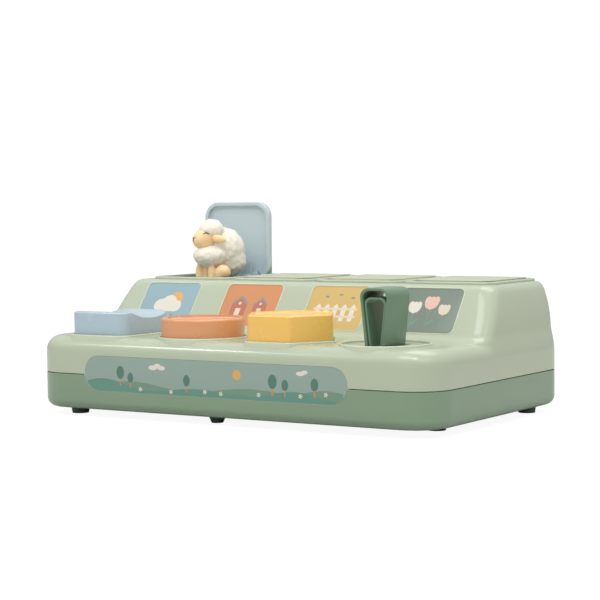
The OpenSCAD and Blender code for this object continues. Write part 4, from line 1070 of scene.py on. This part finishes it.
for side in (1, -1):
    horn = raised(ringFace(cow["hornR"], 20), 0, cow["hornH"], 1.2, 0, 4)
    tilt = Matrix.Rotation(radians(side * cow["hornTilt"]), 4, "Y")
    cowHorns.append(placed(horn, Matrix.Translation((side * cow["hornX"], -30, 40.2)) @ tilt))
figurePiece("cowHorns", together(*cowHorns), 1, skinPaint)
cowFeet = ((-7, -36.4), (7, -36.4), (-8, -15), (8, -15))
plainFeet(cowFeet, cow["legTop"], cow["legR"], "cowLegs", 1, cowPaint)

# pig: stands, with a round snout and upright ears
pig = dict(snoutR=4, snoutL=3.6, legR=3.6, legTop=11)
pigBody = blobby([ball(0, -29, 17.6, 13, 12.2, 12.6), ball(0, -18, 17, 13.4, 12.6, 13.2),
                  ball(0, -32, 29, 10, 9.2, 9.6), ball(7.4, -31, 37.4, 2.8, 1.6, 3.6, "Y", 26),
                  ball(-7.4, -31, 37.4, 2.8, 1.6, 3.6, "Y", -26)], 0.7)
figurePiece("pigHide", pigBody, 2, pinkPaint, "pig_figure")
snout = raised(ringFace(pig["snoutR"], 36), 0, pig["snoutL"], 0.9, 0, 4)
placed(snout, Matrix.Translation((0, -39.8, 27.4)) @ Matrix.Rotation(pi / 2, 4, "X"))
figurePiece("pigSnout", snout, 2, deepPinkPaint)
pigFeatures = closedEyes([(1.4, -43.35, 26.9), (1.4, -43.35, 28.1)], 0.42)
pigFeatures += closedEyes([(3.4, -40.6, 32.2), (4.6, -40.0, 32.8), (5.8, -39.2, 32.2)])
figurePiece("pigFeatures", together(*pigFeatures), 2, darkPaint)
pigFeet = ((-7, -35.6), (7, -35.6), (-7.5, -15), (7.5, -15))
plainFeet(pigFeet, pig["legTop"], pig["legR"], "pigLegs", 2, pinkPaint)

# duck: stands on two feet, with faint down on its body
duck = dict(downLump=2.6, downHeight=0.18, footR=4.2, footTop=6)
duckBody = blobby([ball(0, -27.5, 16.6, 12, 11.6, 12.4), ball(0, -18.5, 16.4, 11.4, 12, 11.4),
                   ball(0, -29, 26, 7, 7, 8), ball(0, -30, 34, 8.6, 8.8, 8.6),
                   ball(12, -21.5, 17.5, 3.2, 8, 6), ball(-12, -21.5, 17.5, 3.2, 8, 6),
                   ball(0, -7.5, 21, 5, 4.6, 3.4, "X", -25)], 0.7)
figurePiece("duckDown", woolly(duckBody, duck["downLump"], duck["downHeight"]), 3, duckPaint, "duck_figure")
duckBill = blobby([ball(0, -40, 32.6, 4.2, 3.9, 1.5), ball(0, -39.4, 31.2, 3.4, 3.2, 1.1)], 0.35)
figurePiece("duckBill", duckBill, 3, beakPaint)
duckEyes = closedEyes([(3.6, -37.9, 36), (4.8, -37.3, 36.6), (5.9, -36.3, 36)])
figurePiece("duckFeatures", together(*duckEyes), 3, darkPaint)
plainFeet(((-5.6, -31.5), (5.6, -31.5)), duck["footTop"], duck["footR"], "duckFeet", 3, beakPaint)
print("animals made")

# pieces carried over from the source get their finish in their own slots
finishes = {"rubber_feet": footRubber}
for name in ("case_screws", "hinge_pins", "plate_screws", "latch_rod", "lever_pin", "button_spring"):
    finishes[name] = steelWire
for i in range(4):
    finishes["lid_spring_%d" % (i + 1)] = steelWire
    finishes["lid_arm_%d" % (i + 1)] = lidAbs[i]
    finishes["latch_%d" % (i + 1)] = greyGreenAbs
for name in ("mechanism_plate", "slider_shoe", "dial_cam", "dial_pushrod", "button_stem", "lever_pushrod"):
    finishes[name] = greyGreenAbs
for name, mat in finishes.items():
    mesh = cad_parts[name].data
    mesh.materials.clear()
    mesh.materials.append(mat)
print("finishes set")

# studio: pale floor, white background, soft light from all round and a few softboxes
studio = dict(floorGrey=(0.62, 0.62, 0.61, 1), floorGlow=1.25, glowShare=0.74, horizon=0.42, zenith=0.85,
              zenithFrom=0.8, aim=(0, 0, 0.05))
white = (1, 1, 1, 1)


def studioFloor():
    # pale paper that keeps the object's shadow and fades into the background
    mat = bpy.data.materials.new("paleStudioFloor")
    mat.use_nodes = True
    tree = mat.node_tree
    tree.nodes.clear()
    ray = addNode(tree, "ShaderNodeLightPath")
    paper = addNode(tree, "ShaderNodeBsdfDiffuse", values={"Color": studio["floorGrey"]})
    glow = addNode(tree, "ShaderNodeEmission", values={"Color": white, "Strength": studio["floorGlow"]})
    part = addNode(tree, "ShaderNodeMath", {"operation": "MULTIPLY"}, {1: studio["glowShare"]},
                   {0: ray.outputs["Is Camera Ray"]})
    mix = addNode(tree, "ShaderNodeMixShader",
                  links={0: part.outputs[0], 1: paper.outputs[0], 2: glow.outputs[0]})
    addNode(tree, "ShaderNodeOutputMaterial", links={"Surface": mix.outputs[0]})
    bm = bmesh.new()
    bmesh.ops.create_grid(bm, x_segments=1, y_segments=1, size=6)
    floor = toObject("studioFloor", bm, False)
    floor.data.materials.append(mat)


def studioWorld():
    # white for the camera, a soft gradient for everything that is lit or mirrored
    world = bpy.data.worlds.new("studioWorld")
    bpy.context.scene.world = world
    world.use_nodes = True
    tree = world.node_tree
    tree.nodes.clear()
    ray = addNode(tree, "ShaderNodeLightPath")
    way = addNode(tree, "ShaderNodeTexCoord").outputs["Generated"]
    up = addNode(tree, "ShaderNodeSeparateXYZ", links={"Vector": way}).outputs["Z"]
    span = {"From Min": 0, "From Max": studio["zenithFrom"],
            "To Min": studio["horizon"], "To Max": studio["zenith"]}
    level = addNode(tree, "ShaderNodeMapRange", values=span, links={"Value": up})
    soft = addNode(tree, "ShaderNodeBackground", values={"Color": white},
                   links={"Strength": level.outputs["Result"]})
    plain = addNode(tree, "ShaderNodeBackground", values={"Color": white, "Strength": 1})
    mix = addNode(tree, "ShaderNodeMixShader",
                  links={0: ray.outputs["Is Camera Ray"], 1: soft.outputs[0], 2: plain.outputs[0]})
    addNode(tree, "ShaderNodeOutputWorld", links={"Surface": mix.outputs[0]})


def hangLamp(name, kind, spot, aim, power):
    data = bpy.data.lights.new(name, kind)
    data.energy = power
    lamp = bpy.data.objects.new(name, data)
    bpy.context.scene.collection.objects.link(lamp)
    lamp.location = spot
    lamp.rotation_euler = (Vector(aim) - Vector(spot)).to_track_quat("-Z", "Y").to_euler()
    return lamp


def softbox(name, spot, size, power):
    data = hangLamp(name, "AREA", spot, studio["aim"], power).data
    data.shape, data.size, data.size_y = "RECTANGLE", size[0], size[1]


def reflectorCard(spot, aim, cone, power):
    # a narrow soft beam that lifts the shaded foot of the raised figure and isn't mirrored
    lamp = hangLamp("reflectorCard", "SPOT", spot, aim, power)
    lamp.visible_glossy = False
    lamp.data.spot_size, lamp.data.spot_blend, lamp.data.shadow_soft_size = radians(cone), 1, 0.1


studioFloor()
studioWorld()
reflectorCard((0.4, -1, 0.3), (-0.095, 0.045, 0.09), 7, 6)
softbox("keySoftbox", (-0.05, -0.8, 1.55), (1, 0.7), 7.5)
softbox("leftCard", (-1.1, -0.9, 1.3), (0.15, 0.15), 2.6)
softbox("rightCard", (0.55, -0.9, 1.5), (0.15, 0.15), 2.6)
softbox("sideSoftbox", (1.1, -0.6, 1.2), (0.9, 0.8), 3)
softbox("topSoftbox", (0.1, 0.5, 1.6), (1.2, 0.7), 7)

# camera at the photo's angle, as found from the object's edges in it
view = dict(lens=108.81, spot=(0.63943, -1.00458, 0.1407), turn=32.42, down=3.225, roll=-0.55)
cam = bpy.data.cameras.new("camera")
cam.lens, cam.sensor_width = view["lens"], 36
camera = bpy.data.objects.new("camera", cam)
bpy.context.scene.collection.objects.link(camera)
camera.location = view["spot"]
pan = Matrix.Rotation(radians(view["turn"]), 4, "Z")
tilt = Matrix.Rotation(radians(90 - view["down"]), 4, "X")
camera.rotation_euler = (pan @ tilt @ Matrix.Rotation(radians(view["roll"]), 4, "Z")).to_euler()
bpy.context.scene.camera = camera
bpy.context.scene.view_settings.view_transform = "Standard"
print("studio made")
